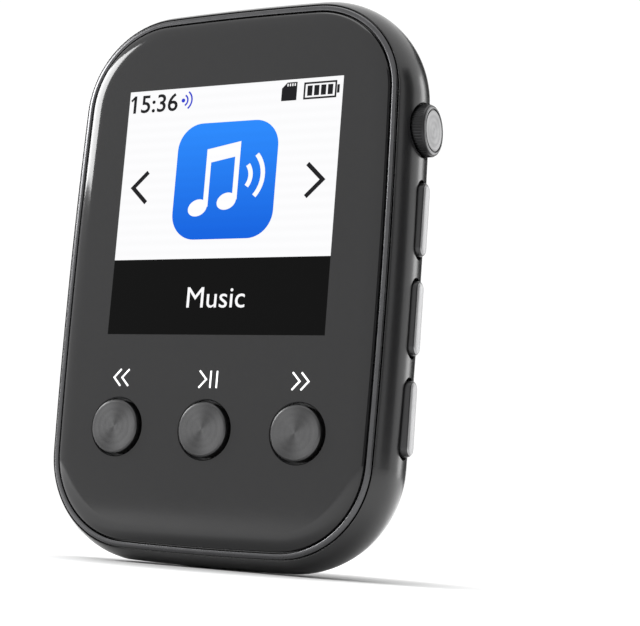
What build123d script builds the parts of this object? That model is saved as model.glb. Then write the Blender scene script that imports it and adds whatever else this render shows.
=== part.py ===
"""Clip-on digital audio player: glass front with three round keys, barrel-sided casing, sprung belt clip.

The player stands upright. X runs to the right, Y runs from the glass front to the clip at the back and Z is
up. The origin is the middle of the whole player's footprint, keys and clip included. Distances behind the
glass are called depths. Heights on the body are measured from its middle.
"""
from build123d import *

import os

# ---------------------------------------------------------------- driving dimensions, in millimetres
GLASS_W, GLASS_H, GLASS_T = 39.1, 59.7, 1.1
CORNER_R = 9.8            # corner radius of the glass outline
SIDE_BOW, END_BOW = 0.6, 0.5   # how far the long sides and the ends bow outwards

BULGE = 2.25              # how far the casing stands outside the glass outline, at its widest
BULGE_DEPTH = 4.8         # depth of the widest line
BARREL_R = 7.4            # radius of the casing's rounded side, across its section
WALL = 1.2
LIP_DEPTH = 0.7           # front edge of the casing
SEAM_DEPTH = 9.2          # joint between the casing and the back cover
BACK_DEPTH = 11.4         # flat back of the back cover
BACK_EDGE_R = 2.1         # rounded border of the back cover

LEDGE_DEPTH, LEDGE_T = 1.2, 1.15    # shelf that the glass and the ring sit on
LEDGE_IN = 1.6                     # how far the shelf reaches inside the glass outline

SCREEN_Y = 7.62           # middle of the lit square

KEY_R, KEY_HOLE_R, KEY_PROUD = 3.0, 3.28, 0.6
KEY_SPACING, KEY_Y = 11.46, -17.2
KEY_FLANGE_R, KEY_FLANGE_DEPTH, KEY_FLANGE_T = 3.75, 1.25, 0.5

SIDE_DEPTH = 5.3          # depth of the centre line of the side keys
SIDE_PITCH, SIDE_TOP_Y = 10.78, 6.77
PILL_L, PILL_W, PILL_PROUD = 8.1, 1.95, 0.55
PILL_GAP = 0.38
POWER_R, POWER_Y, POWER_PROUD, POWER_GAP = 2.85, 16.7, 0.85, 0.3
POWER_STEM_R, STEM_CLEARANCE = 1.6, 0.07

JACK_X, JACK_DEPTH, JACK_R, JACK_L = 9.4, 6.2, 1.8, 12.5
SOCKET_X, SOCKET_DEPTH = -7.0, 5.3
SOCKET_W, SOCKET_T, SOCKET_L = 8.94, 3.2, 7.4
CARD_Y, CARD_DEPTH, CARD_W, CARD_T = 16.0, 7.15, 11.4, 0.95
MIC_X = -12.6

HOLE_PITCH, HOLE_R, GRILLE_Y = 2.2, 0.55, -22.0

CLIP_W, CLIP_TOP, CLIP_TIP, CLIP_R = 20.2, 24.2, -20.3, 4.0
CLIP_FACE, CLIP_COVER_T, CLIP_ARM_T = 16.4, 1.15, 0.75
HINGE_Y, HINGE_DEPTH, HINGE_R, PIN_R = 19.6, 13.0, 1.4, 0.8
CATCH_Y, CATCH_L = -11.9, 12.4

BOARD_DEPTH, BOARD_T = 5.6, 0.8
FRAME_DEPTH, FRAME_FLOOR_DEPTH, FRAME_BACK = 2.4, 3.8, 4.6
FRAME_FLOOR_W, FRAME_FLOOR_H, FRAME_NOTCH = 33.0, 54.6, 1.4
SCREW_X, SCREW_Y = 14.4, 24.6

# ---------------------------------------------------------------- places worked out from them
BODY_HALF_W = GLASS_W / 2 + BULGE
BODY_HALF_H = GLASS_H / 2 + BULGE
BODY_X = -POWER_PROUD / 2
FRONT_Y = -(CLIP_FACE - KEY_PROUD) / 2
MID_Z = BODY_HALF_H

# Named places inside the body
SIDE_YS = tuple(SIDE_TOP_Y - n * SIDE_PITCH for n in range(3))
POWER_FACE_X = BODY_HALF_W + POWER_PROUD
POWER_FLOOR, POWER_BOSS_IN, POWER_TRAVEL = 20.55, 19.25, 0.3
POWER_RING_X, POWER_RING_T = 18.92, 0.28
PILL_FACE_X = BODY_HALF_W + PILL_PROUD
PILL_FLANGE_X, PILL_FLANGE_T, PILL_NUB_X = 19.4, 0.6, 18.8
SIDE_BOARD_X, SIDE_BOARD_T, SWITCH_T = 16.9, 0.5, 0.9
MAT_DEPTH, KEY_BOARD_DEPTH, DOME_H = 2.15, 3.2, 0.35
KEY_STEM_END = MAT_DEPTH - 0.3
PANEL_W, PANEL_H, PANEL_T = 30.6, 34.2, 1.3
PANEL_Y = SCREEN_Y - 1.6
PANEL_BOTTOM = PANEL_Y - PANEL_H / 2
TRAY_DEPTH, TRAY_T, TRAY_W, TRAY_H, TRAY_Y = 2.5, 1.2, 31.2, 31.0, 7.9
JACK_BODY_W, JACK_BODY_T, JACK_NOSE_R, JACK_NOSE_L, JACK_DROP = 6.4, 4.6, 2.5, 2.7, 3.3
JACK_Y = BODY_HALF_H - JACK_DROP - JACK_L / 2
SOCKET_MOUTH = -BODY_HALF_H + 0.25
BOARD_X, BOARD_W, BOARD_H = -0.9, 34.6, 54.0
BOARD_BACK = BOARD_DEPTH + BOARD_T
SCREW_R = 0.6
CARD_READER_L, CARD_READER_W, CARD_READER_T = 14.4, 13.4, 1.5
CARD_READER_X = -GLASS_W / 2 + 0.5 + CARD_READER_L / 2
BATTERY_DEPTH = BOARD_BACK + 0.15
SPEAKER_DEPTH, SPEAKER_T = 7.1, 2.8
BRACKET_SCREW_Y, BRACKET_SCREW_SPACING, BRACKET_SCREW_R = 17.3, 5.0, 0.55


def layer(depth):
    """Plane at a depth behind the glass, facing the user: x to the right, y up, centred on the body."""
    return Plane(origin=(BODY_X, FRONT_Y + depth, MID_Z), x_dir=(1, 0, 0), z_dir=(0, -1, 0))


def side_layer(distance, depth=SIDE_DEPTH):
    """Plane facing right, a distance to the right of the body's middle: x runs backwards, y up."""
    return Plane(origin=(BODY_X + distance, FRONT_Y + depth, MID_Z), x_dir=(0, 1, 0), z_dir=(1, 0, 0))


def end_layer(height, depth, up=True):
    """Plane facing up or down at a height from the body's middle: x to the right."""
    facing = 1 if up else -1
    return Plane(origin=(BODY_X, FRONT_Y + depth, MID_Z + height), x_dir=(1, 0, 0), z_dir=(0, 0, facing))


def section_plane(distance):
    """Plane across the body, facing right: x is the depth behind the glass, y the height."""
    return Plane(origin=(BODY_X + distance, FRONT_Y, MID_Z), x_dir=(0, 1, 0), z_dir=(1, 0, 0))


def bulge_at(depth, inset=0.0):
    """How far the barrel side stands outside the glass outline at a depth, or its inner face does."""
    radius = BARREL_R - inset
    drop = radius - (radius**2 - (depth - BULGE_DEPTH) ** 2) ** 0.5
    return BULGE - inset - drop


def outline(grow=0.0, mode=Mode.ADD):
    """Adds the player's outline, a rounded rectangle with bowed sides, grown outwards by a distance."""
    half_w, half_h = GLASS_W / 2 + grow, GLASS_H / 2 + grow
    corner_x, corner_y = half_w - SIDE_BOW, half_h - END_BOW
    with BuildSketch(Plane.XY, mode=Mode.PRIVATE) as shape:
        with BuildLine():
            ThreePointArc((corner_x, -corner_y), (half_w, 0), (corner_x, corner_y))
            ThreePointArc((corner_x, corner_y), (0, half_h), (-corner_x, corner_y))
            ThreePointArc((-corner_x, corner_y), (-half_w, 0), (-corner_x, -corner_y))
            ThreePointArc((-corner_x, -corner_y), (0, -half_h), (corner_x, -corner_y))
        make_face()
        fillet(shape.vertices(), CORNER_R + grow)
    add(shape.sketch, mode=mode)


def facing_front(part):
    """Edges of the part's frontmost face."""
    return part.faces().sort_by(Axis.Y)[0].edges()


def facing_back(part):
    """Edges of the part's rearmost face."""
    return part.faces().sort_by(Axis.Y)[-1].edges()


def save(builder, name):
    """Labels a finished piece and writes it to its own file."""
    builder.part.label = name
    export_step(builder.part, f"parts/{name}.step")


os.makedirs("parts", exist_ok=True)

# ================================================================ outer shell

# Dark glass with a rounded front edge and three round holes for the keys
with BuildPart() as front_glass:
    with BuildSketch(layer(0)):
        outline()
    extrude(amount=-GLASS_T)
    fillet(facing_front(front_glass), 0.45)
    with BuildSketch(layer(0)):
        with GridLocations(KEY_SPACING, 1, 3, 1):
            with Locations((0, KEY_Y)):
                Circle(KEY_HOLE_R)
    extrude(amount=-GLASS_T, mode=Mode.SUBTRACT)
save(front_glass, "front_glass")

# Narrow metal ring between the glass and the casing
RING_IN, RING_OUT, RING_DEPTH = 0.13, 0.82, 0.4
with BuildPart() as front_bezel:
    with BuildSketch(layer(RING_DEPTH)):
        outline(RING_OUT)
        outline(RING_IN, Mode.SUBTRACT)
    extrude(amount=-(LEDGE_DEPTH - RING_DEPTH))
    fillet(facing_front(front_bezel), 0.16)
save(front_bezel, "front_bezel")

# Casing: one section of wall, shelf and lip, swept round the glass outline
LIP_IN = 0.93
INNER_FRONT = LEDGE_DEPTH + LEDGE_T
with BuildPart() as side_housing:
    with BuildSketch(layer(0), mode=Mode.PRIVATE) as path_face:
        outline()
    path = path_face.sketch.faces()[0].outer_wire()
    start = Plane(origin=path @ 0, x_dir=(0, 1, 0), z_dir=path % 0)
    with BuildSketch(start):
        with BuildLine():
            ThreePointArc(
                (LIP_DEPTH, -bulge_at(LIP_DEPTH)),
                (BULGE_DEPTH, -BULGE),
                (SEAM_DEPTH, -bulge_at(SEAM_DEPTH)),
            )
            Line((SEAM_DEPTH, -bulge_at(SEAM_DEPTH)), (SEAM_DEPTH, -bulge_at(SEAM_DEPTH, WALL)))
            ThreePointArc(
                (SEAM_DEPTH, -bulge_at(SEAM_DEPTH, WALL)),
                (BULGE_DEPTH, WALL - BULGE),
                (INNER_FRONT, -bulge_at(INNER_FRONT, WALL)),
            )
            Polyline(
                (INNER_FRONT, -bulge_at(INNER_FRONT, WALL)),
                (INNER_FRONT, LEDGE_IN),
                (LEDGE_DEPTH, LEDGE_IN),
                (LEDGE_DEPTH, -LIP_IN),
                (LIP_DEPTH, -LIP_IN),
                (LIP_DEPTH, -bulge_at(LIP_DEPTH)),
            )
        make_face()
    sweep(path=path)

    # Pockets and slots for the side keys
    for y in SIDE_YS:
        with BuildSketch(side_layer(BODY_HALF_W + 1)):
            with Locations((0, y)):
                SlotOverall(PILL_L + 2 * PILL_GAP, PILL_W + 2 * PILL_GAP, rotation=90)
        extrude(amount=-4, mode=Mode.SUBTRACT)
    # Round boss, pocket and bearing hole for the power key
    with BuildSketch(side_layer(POWER_BOSS_IN)):
        with Locations((0, POWER_Y)):
            Circle(POWER_R + POWER_GAP + 0.35)
    extrude(amount=BODY_HALF_W - WALL - POWER_BOSS_IN + 0.6)
    with BuildSketch(side_layer(BODY_HALF_W + 1)):
        with Locations((0, POWER_Y)):
            Circle(POWER_R + POWER_GAP)
    extrude(amount=-(BODY_HALF_W + 1 - POWER_FLOOR), mode=Mode.SUBTRACT)
    with BuildSketch(side_layer(BODY_HALF_W + 1)):
        with Locations((0, POWER_Y)):
            Circle(POWER_STEM_R + STEM_CLEARANCE)
    extrude(amount=-5, mode=Mode.SUBTRACT)
    # Headphone socket hole in the top, charging socket and microphone holes in the bottom
    with BuildSketch(end_layer(BODY_HALF_H + 1, JACK_DEPTH)):
        with Locations((JACK_X, 0)):
            Circle(JACK_NOSE_R + 0.1)
    extrude(amount=-5, mode=Mode.SUBTRACT)
    with BuildSketch(end_layer(-BODY_HALF_H - 1, SOCKET_DEPTH, up=False)):
        with Locations((SOCKET_X, 0)):
            SlotOverall(SOCKET_W + 0.3, SOCKET_T + 0.3)
        with Locations((MIC_X, 0)):
            Circle(0.5)
    extrude(amount=-5, mode=Mode.SUBTRACT)
    # Memory card slot in the left side
    with BuildSketch(side_layer(-BODY_HALF_W - 1, CARD_DEPTH)):
        with Locations((0, CARD_Y)):
            Rectangle(CARD_T + 0.3, CARD_W + 0.4)
    extrude(amount=4, mode=Mode.SUBTRACT)
save(side_housing, "side_housing")

# Back cover: shell with a rounded border, a lip inside the casing, the catch and the speaker holes
COVER_OUT = bulge_at(SEAM_DEPTH) - 0.02
COVER_IN = COVER_OUT - WALL
COVER_FLOOR = BACK_DEPTH - WALL
LIP_OUT = bulge_at(SEAM_DEPTH, WALL) - 0.12
CATCH_W, CATCH_H = 3.0, 0.9
with BuildPart() as back_cover:
    with BuildSketch(layer(SEAM_DEPTH + 0.06)):
        outline(COVER_OUT)
    extrude(amount=-(BACK_DEPTH - SEAM_DEPTH - 0.06))
    fillet(facing_back(back_cover), BACK_EDGE_R)
    with BuildSketch(layer(SEAM_DEPTH)):
        outline(COVER_IN - 1.1)
    extrude(amount=-(COVER_FLOOR - SEAM_DEPTH), mode=Mode.SUBTRACT)
    with BuildSketch(layer(SEAM_DEPTH - 1.2)):
        outline(LIP_OUT)
        outline(LIP_OUT - 0.9, Mode.SUBTRACT)
    extrude(amount=-2.0)
    # The lip is cut away where the headphone socket passes
    with BuildSketch(layer(SEAM_DEPTH - 1.3)):
        with Locations((JACK_X, BODY_HALF_H - 3)):
            Rectangle(JACK_BODY_W + 0.6, 8)
    extrude(amount=-1.2, mode=Mode.SUBTRACT)
    # Catch: a bevelled rib with a groove that the clip's tooth drops into
    with BuildSketch(layer(BACK_DEPTH)):
        with Locations((0, CATCH_Y)):
            Rectangle(CATCH_L, CATCH_W)
    extrude(amount=-CATCH_H, taper=25)
    with BuildSketch(layer(BACK_DEPTH + CATCH_H)):
        with Locations((0, CATCH_Y)):
            Rectangle(CATCH_L - 1.8, 1.35)
    extrude(amount=CATCH_H + 0.2, mode=Mode.SUBTRACT)
    # Speaker holes in rows of five, seven and five
    for row, count in ((1, 5), (0, 7), (-1, 5)):
        with BuildSketch(layer(COVER_FLOOR - 0.5)):
            with Locations((0, GRILLE_Y + row * HOLE_PITCH)):
                with GridLocations(HOLE_PITCH, 1, count, 1):
                    Circle(HOLE_R)
        extrude(amount=-3, mode=Mode.SUBTRACT)
    # Two screw holes for the clip bracket
    with BuildSketch(layer(COVER_FLOOR - 0.5)):
        with Locations((0, BRACKET_SCREW_Y)):
            with GridLocations(BRACKET_SCREW_SPACING, 1, 2, 1):
                Circle(BRACKET_SCREW_R + 0.1)
    extrude(amount=-3, mode=Mode.SUBTRACT)
save(back_cover, "back_cover")

# ================================================================ front keys and what they press

# Round key: face above the glass, flange behind it and a short stem
def front_key(x):
    """Makes one front key, centred at a distance to the right of the body's middle."""
    with BuildPart() as key:
        with BuildSketch(layer(-KEY_PROUD)):
            with Locations((x, KEY_Y)):
                Circle(KEY_R)
        extrude(amount=-(KEY_PROUD + KEY_FLANGE_DEPTH))
        chamfer(facing_front(key), 0.18)
        with BuildSketch(layer(KEY_FLANGE_DEPTH)):
            with Locations((x, KEY_Y)):
                Circle(KEY_FLANGE_R)
        extrude(amount=-KEY_FLANGE_T)
        with BuildSketch(layer(KEY_FLANGE_DEPTH + KEY_FLANGE_T)):
            with Locations((x, KEY_Y)):
                Circle(1.5)
        extrude(amount=-(KEY_STEM_END - KEY_FLANGE_DEPTH - KEY_FLANGE_T))
    return key


for x, name in ((-KEY_SPACING, "previous_button"), (0, "play_button"), (KEY_SPACING, "next_button")):
    save(front_key(x), name)

# Rubber mat under the keys, with a skirt that stands on the key board
MAT_L, MAT_W, MAT_T = 32.0, 8.8, 0.6
with BuildPart() as key_membrane:
    with BuildSketch(layer(MAT_DEPTH)):
        with Locations((0, KEY_Y)):
            RectangleRounded(MAT_L, MAT_W, 1.5)
    extrude(amount=-MAT_T)
    with BuildSketch(layer(MAT_DEPTH + MAT_T)):
        with Locations((0, KEY_Y)):
            RectangleRounded(MAT_L, MAT_W, 1.5)
            RectangleRounded(MAT_L - 1.6, MAT_W - 1.6, 0.7, mode=Mode.SUBTRACT)
    extrude(amount=-(KEY_BOARD_DEPTH - MAT_DEPTH - MAT_T))
save(key_membrane, "key_membrane")

# Snap domes on a small board
with BuildPart() as front_dome_switches:
    with BuildSketch(layer(KEY_BOARD_DEPTH - DOME_H)):
        with Locations((0, KEY_Y)):
            with GridLocations(KEY_SPACING, 1, 3, 1):
                Circle(2.2)
    extrude(amount=-DOME_H)
    fillet(facing_front(front_dome_switches), 0.2)
save(front_dome_switches, "front_dome_switches")

with BuildPart() as front_key_board:
    with BuildSketch(layer(KEY_BOARD_DEPTH)):
        with Locations((0, KEY_Y)):
            RectangleRounded(MAT_L, MAT_W, 1.5)
    extrude(amount=-(FRAME_FLOOR_DEPTH - KEY_BOARD_DEPTH))
save(front_key_board, "front_key_board")

# ================================================================ screen

with BuildPart() as display_panel:
    with BuildSketch(layer(GLASS_T + 0.05)):
        with Locations((0, PANEL_Y)):
            RectangleRounded(PANEL_W, PANEL_H, 0.5)
    extrude(amount=-PANEL_T)
save(display_panel, "display_panel")

with BuildPart() as display_backlight:
    with BuildSketch(layer(TRAY_DEPTH)):
        with Locations((0, TRAY_Y)):
            RectangleRounded(TRAY_W, TRAY_H, 0.8)
    extrude(amount=-TRAY_T)
save(display_backlight, "display_backlight")

# Ribbon from the back of the panel, through the frame, to the board
with BuildPart() as display_flex:
    with BuildSketch(section_plane(0)):
        with BuildLine():
            FilletPolyline(
                (TRAY_DEPTH + 0.15, PANEL_BOTTOM + 0.4),
                (TRAY_DEPTH + 0.15, TRAY_Y - TRAY_H / 2 - 0.6),
                (BOARD_DEPTH - 0.15, TRAY_Y - TRAY_H / 2 - 0.6),
                (BOARD_DEPTH - 0.15, TRAY_Y - TRAY_H / 2 + 5),
                radius=0.5,
            )
        trace(line_width=0.12)
    extrude(amount=5, both=True)
save(display_flex, "display_flex")

# ================================================================ inside frame and main board

FRAME_GROW = -0.7
with BuildPart() as inner_frame:
    with BuildSketch(layer(FRAME_DEPTH)):
        outline(FRAME_GROW)
    extrude(amount=-(FRAME_FLOOR_DEPTH - FRAME_DEPTH))
    with BuildSketch(layer(FRAME_FLOOR_DEPTH)):
        RectangleRounded(FRAME_FLOOR_W, FRAME_FLOOR_H, 6.0)
    extrude(amount=-(FRAME_BACK - FRAME_FLOOR_DEPTH))
    # Bosses for the main board
    with BuildSketch(layer(FRAME_BACK)):
        with GridLocations(2 * SCREW_X, 2 * SCREW_Y, 2, 2):
            Circle(1.6)
    extrude(amount=-(BOARD_DEPTH - FRAME_BACK))
    # Pocket for the screen and its tray, pocket for the key board
    with BuildSketch(layer(FRAME_DEPTH)):
        with Locations((0, PANEL_Y)):
            RectangleRounded(PANEL_W + 1.0, PANEL_H + 1.0, 0.6)
        with Locations((0, KEY_Y)):
            RectangleRounded(MAT_L + 0.4, MAT_W + 0.4, 1.6)
    extrude(amount=-(FRAME_FLOOR_DEPTH - FRAME_DEPTH), mode=Mode.SUBTRACT)
    # Slot for the ribbon, notches for the sockets and the power key's stem, and screw holes
    with BuildSketch(layer(FRAME_DEPTH)):
        with Locations((0, TRAY_Y - TRAY_H / 2 - 0.6)):
            Rectangle(11, 1.2)
        with Locations((SOCKET_X, -BODY_HALF_H + SOCKET_L / 2 + 0.5)):
            Rectangle(SOCKET_W + 0.6, SOCKET_L + 0.6)
        with Locations((JACK_X, JACK_Y + 1)):
            Rectangle(JACK_BODY_W + 0.4, JACK_L + 2.4)
        with Locations((POWER_RING_X, POWER_Y)):
            Rectangle(FRAME_NOTCH, 2 * (POWER_STEM_R + POWER_GAP))
    extrude(amount=-3, mode=Mode.SUBTRACT)
    with BuildSketch(layer(FRAME_FLOOR_DEPTH + 0.3)):
        with GridLocations(2 * SCREW_X, 2 * SCREW_Y, 2, 2):
            Circle(SCREW_R)
    extrude(amount=-3, mode=Mode.SUBTRACT)
save(inner_frame, "inner_frame")

with BuildPart() as main_board:
    with BuildSketch(layer(BOARD_DEPTH)):
        with Locations((BOARD_X, 0)):
            RectangleRounded(BOARD_W, BOARD_H, 6.5)
        with Locations((JACK_X, JACK_Y + 2)):
            Rectangle(JACK_BODY_W + 0.4, JACK_L + 4.4, mode=Mode.SUBTRACT)
        with Locations((SOCKET_X, -BODY_HALF_H + SOCKET_L / 2)):
            Rectangle(SOCKET_W + 0.4, SOCKET_L + 0.6, mode=Mode.SUBTRACT)
        with GridLocations(2 * SCREW_X, 2 * SCREW_Y, 2, 2):
            Circle(SCREW_R + 0.12, mode=Mode.SUBTRACT)
    extrude(amount=-BOARD_T)
save(main_board, "main_board")

# Board screws: pan heads on the board, shanks in the bosses
with BuildPart() as board_screws:
    with BuildSketch(layer(BOARD_BACK)):
        with GridLocations(2 * SCREW_X, 2 * SCREW_Y, 2, 2):
            Circle(1.3)
    extrude(amount=-0.7)
    fillet(facing_back(board_screws), 0.2)
    with BuildSketch(layer(BOARD_BACK)):
        with GridLocations(2 * SCREW_X, 2 * SCREW_Y, 2, 2):
            Circle(SCREW_R)
    extrude(amount=BOARD_T + 1.2)
    with BuildSketch(layer(BOARD_BACK + 0.7)):
        with GridLocations(2 * SCREW_X, 2 * SCREW_Y, 2, 2):
            Rectangle(1.4, 0.3)
            Rectangle(0.3, 1.4)
    extrude(amount=0.3, mode=Mode.SUBTRACT)
save(board_screws, "board_screws")


def board_block(width, height, thick, x, y, edge=0.0):
    """Makes a block on the back of the main board, with its rear edges rounded."""
    with BuildPart() as block:
        with BuildSketch(layer(BOARD_BACK)):
            with Locations((x, y)):
                Rectangle(width, height)
        extrude(amount=-thick)
        if edge:
            fillet(facing_back(block), edge)
    return block


save(board_block(9.6, 9.6, 1.3, 0.6, 13.0, edge=0.25), "processor_can")
save(board_block(8.0, 5.6, 0.8, 0.2, 22.6), "memory_chip")
save(board_block(3.0, 2.0, 1.0, MIC_X, -21.4), "microphone")

# Memory card reader: a thin metal can, open to the left side
with BuildPart() as memory_card_slot:
    with BuildSketch(layer(BOARD_BACK)):
        with Locations((CARD_READER_X, CARD_Y)):
            Rectangle(CARD_READER_L, CARD_READER_W)
    extrude(amount=-CARD_READER_T)
    with BuildSketch(side_layer(CARD_READER_X - CARD_READER_L / 2, CARD_DEPTH)):
        with Locations((0, CARD_Y)):
            Rectangle(CARD_T, CARD_W)
    extrude(amount=CARD_READER_L - 0.6, mode=Mode.SUBTRACT)
save(memory_card_slot, "memory_card_slot")

# Headphone socket: block with a round nose and a through bore
with BuildPart() as headphone_socket:
    with BuildSketch(end_layer(JACK_Y - JACK_L / 2, JACK_DEPTH)):
        with Locations((JACK_X, 0)):
            Rectangle(JACK_BODY_W, JACK_BODY_T)
    extrude(amount=JACK_L)
    with BuildSketch(end_layer(JACK_Y + JACK_L / 2, JACK_DEPTH)):
        with Locations((JACK_X, 0)):
            Circle(JACK_NOSE_R)
    extrude(amount=JACK_NOSE_L)
    with BuildSketch(end_layer(JACK_Y + JACK_L / 2 + JACK_NOSE_L, JACK_DEPTH)):
        with Locations((JACK_X, 0)):
            Circle(JACK_R)
    extrude(amount=-(JACK_L + JACK_NOSE_L - 0.8), mode=Mode.SUBTRACT)
save(headphone_socket, "headphone_socket")

# Charging socket: a rounded metal sleeve with a contact tongue
with BuildPart() as charging_socket:
    with BuildSketch(end_layer(SOCKET_MOUTH, SOCKET_DEPTH, up=False)):
        with Locations((SOCKET_X, 0)):
            SlotOverall(SOCKET_W, SOCKET_T)
            SlotOverall(SOCKET_W - 0.6, SOCKET_T - 0.6, mode=Mode.SUBTRACT)
    extrude(amount=-SOCKET_L)
    with BuildSketch(end_layer(SOCKET_MOUTH + SOCKET_L, SOCKET_DEPTH, up=False)):
        with Locations((SOCKET_X, 0)):
            SlotOverall(SOCKET_W - 0.4, SOCKET_T - 0.4)
    extrude(amount=1.2)
    with BuildSketch(end_layer(SOCKET_MOUTH + SOCKET_L - 1.2, SOCKET_DEPTH, up=False)):
        with Locations((SOCKET_X, 0)):
            Rectangle(6.7, 0.7)
    extrude(amount=SOCKET_L - 2.2)
save(charging_socket, "charging_socket")

# ================================================================ side keys

def side_key(y):
    """Makes one pill-shaped side key with its flange and nub, at a height from the body's middle."""
    with BuildPart() as key:
        with BuildSketch(side_layer(PILL_FLANGE_X + PILL_FLANGE_T)):
            with Locations((0, y)):
                SlotOverall(PILL_L, PILL_W, rotation=90)
        extrude(amount=PILL_FACE_X - PILL_FLANGE_X - PILL_FLANGE_T)
        outer = key.faces().sort_by(Axis.X)[-1].edges()
        fillet(outer, 0.3)
        with BuildSketch(side_layer(PILL_FLANGE_X)):
            with Locations((0, y)):
                SlotOverall(PILL_L + 1.3, PILL_W + 1.2, rotation=90)
        extrude(amount=PILL_FLANGE_T)
        with BuildSketch(side_layer(PILL_NUB_X)):
            with Locations((0, y)):
                Circle(0.9)
        extrude(amount=PILL_FLANGE_X - PILL_NUB_X)
    return key


for y, name in zip(SIDE_YS, ("volume_up_button", "volume_down_button", "mode_button")):
    save(side_key(y), name)

# Round power key: dished head with a raised rim, on a stem that runs in the casing
with BuildPart() as power_button:
    with BuildSketch(side_layer(POWER_FLOOR + POWER_TRAVEL + 0.05)):
        with Locations((0, POWER_Y)):
            Circle(POWER_R)
    extrude(amount=POWER_FACE_X - POWER_FLOOR - POWER_TRAVEL - 0.05)
    fillet(power_button.faces().sort_by(Axis.X)[-1].edges(), 0.22)
    with BuildSketch(side_layer(POWER_FACE_X)):
        with Locations((0, POWER_Y)):
            Circle(POWER_R - 0.42)
            Circle(POWER_R - 0.62, mode=Mode.SUBTRACT)
    extrude(amount=-0.15, mode=Mode.SUBTRACT)
    with BuildSketch(side_layer(PILL_NUB_X)):
        with Locations((0, POWER_Y)):
            Circle(POWER_STEM_R)
    extrude(amount=POWER_FLOOR + POWER_TRAVEL + 0.05 - PILL_NUB_X)
    # Groove for the retaining ring
    with BuildSketch(side_layer(POWER_RING_X - 0.02)):
        with Locations((0, POWER_Y)):
            Circle(POWER_STEM_R)
            Circle(POWER_STEM_R - 0.4, mode=Mode.SUBTRACT)
    extrude(amount=POWER_RING_T + 0.04, mode=Mode.SUBTRACT)
save(power_button, "power_button")

# Open retaining ring in the stem's groove
with BuildPart() as power_button_ring:
    with BuildSketch(side_layer(POWER_RING_X)):
        with Locations((0, POWER_Y)):
            Circle(2.3)
            Circle(POWER_STEM_R - 0.4, mode=Mode.SUBTRACT)
        with Locations((0, POWER_Y - 2)):
            Rectangle(2 * (POWER_STEM_R - 0.4), 4, mode=Mode.SUBTRACT)
    extrude(amount=POWER_RING_T)
save(power_button_ring, "power_button_ring")

# Side switch board and its four switches
SWITCH_YS = (POWER_Y, *SIDE_YS)
with BuildPart() as side_key_board:
    with BuildSketch(side_layer(SIDE_BOARD_X)):
        with Locations((0, 0.5)):
            Rectangle(2.6, 38.5)
    extrude(amount=SIDE_BOARD_T)
save(side_key_board, "side_key_board")

with BuildPart() as side_switches:
    for y in SWITCH_YS:
        with BuildSketch(side_layer(SIDE_BOARD_X + SIDE_BOARD_T)):
            with Locations((0, y)):
                Rectangle(2.4, 3.6)
        extrude(amount=SWITCH_T)
        with BuildSketch(side_layer(SIDE_BOARD_X + SIDE_BOARD_T + SWITCH_T)):
            with Locations((0, y)):
                Circle(0.7)
        extrude(amount=0.15)
save(side_switches, "side_switches")

# ================================================================ battery and speaker

BATTERY_W, BATTERY_H, BATTERY_T, BATTERY_Y = 30.0, 20.0, 3.2, -3.6
with BuildPart() as battery:
    with BuildSketch(layer(BATTERY_DEPTH)):
        with Locations((-0.8, BATTERY_Y)):
            RectangleRounded(BATTERY_W, BATTERY_H, 1.0)
    extrude(amount=-BATTERY_T)
    fillet(facing_front(battery), 0.5)
    fillet(facing_back(battery), 0.5)
save(battery, "battery")

with BuildPart() as battery_pad:
    with BuildSketch(layer(BATTERY_DEPTH + BATTERY_T)):
        with Locations((-0.8, BATTERY_Y)):
            Rectangle(BATTERY_W - 6, BATTERY_H - 6)
    extrude(amount=-(COVER_FLOOR - BATTERY_DEPTH - BATTERY_T))
save(battery_pad, "battery_pad")

SPEAKER_W, SPEAKER_H = 17.0, 9.6
with BuildPart() as speaker_driver:
    with BuildSketch(layer(SPEAKER_DEPTH)):
        with Locations((0, GRILLE_Y)):
            RectangleRounded(SPEAKER_W, SPEAKER_H, 3.0)
    extrude(amount=-SPEAKER_T)
    with BuildSketch(layer(SPEAKER_DEPTH + SPEAKER_T)):
        with Locations((0, GRILLE_Y)):
            RectangleRounded(SPEAKER_W - 2.6, SPEAKER_H - 2.6, 2.0)
    extrude(amount=0.4, mode=Mode.SUBTRACT)
    with BuildSketch(layer(SPEAKER_DEPTH + SPEAKER_T - 0.4)):
        with Locations((0, GRILLE_Y)):
            RectangleRounded(SPEAKER_W - 6.6, SPEAKER_H - 5.2, 1.8)
    extrude(amount=-0.25)
save(speaker_driver, "speaker_driver")

with BuildPart() as speaker_gasket:
    with BuildSketch(layer(SPEAKER_DEPTH + SPEAKER_T)):
        with Locations((0, GRILLE_Y)):
            RectangleRounded(SPEAKER_W, SPEAKER_H, 3.0)
            RectangleRounded(SPEAKER_W - 2.0, SPEAKER_H - 2.0, 2.2, mode=Mode.SUBTRACT)
    extrude(amount=-(COVER_FLOOR - SPEAKER_DEPTH - SPEAKER_T))
save(speaker_gasket, "speaker_gasket")

with BuildPart() as speaker_mesh:
    with BuildSketch(layer(COVER_FLOOR - 0.12)):
        with Locations((0, GRILLE_Y)):
            RectangleRounded(SPEAKER_W - 2.2, SPEAKER_H - 2.2, 2.1)
    extrude(amount=-0.12)
save(speaker_mesh, "speaker_mesh")

# ================================================================ belt clip

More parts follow.
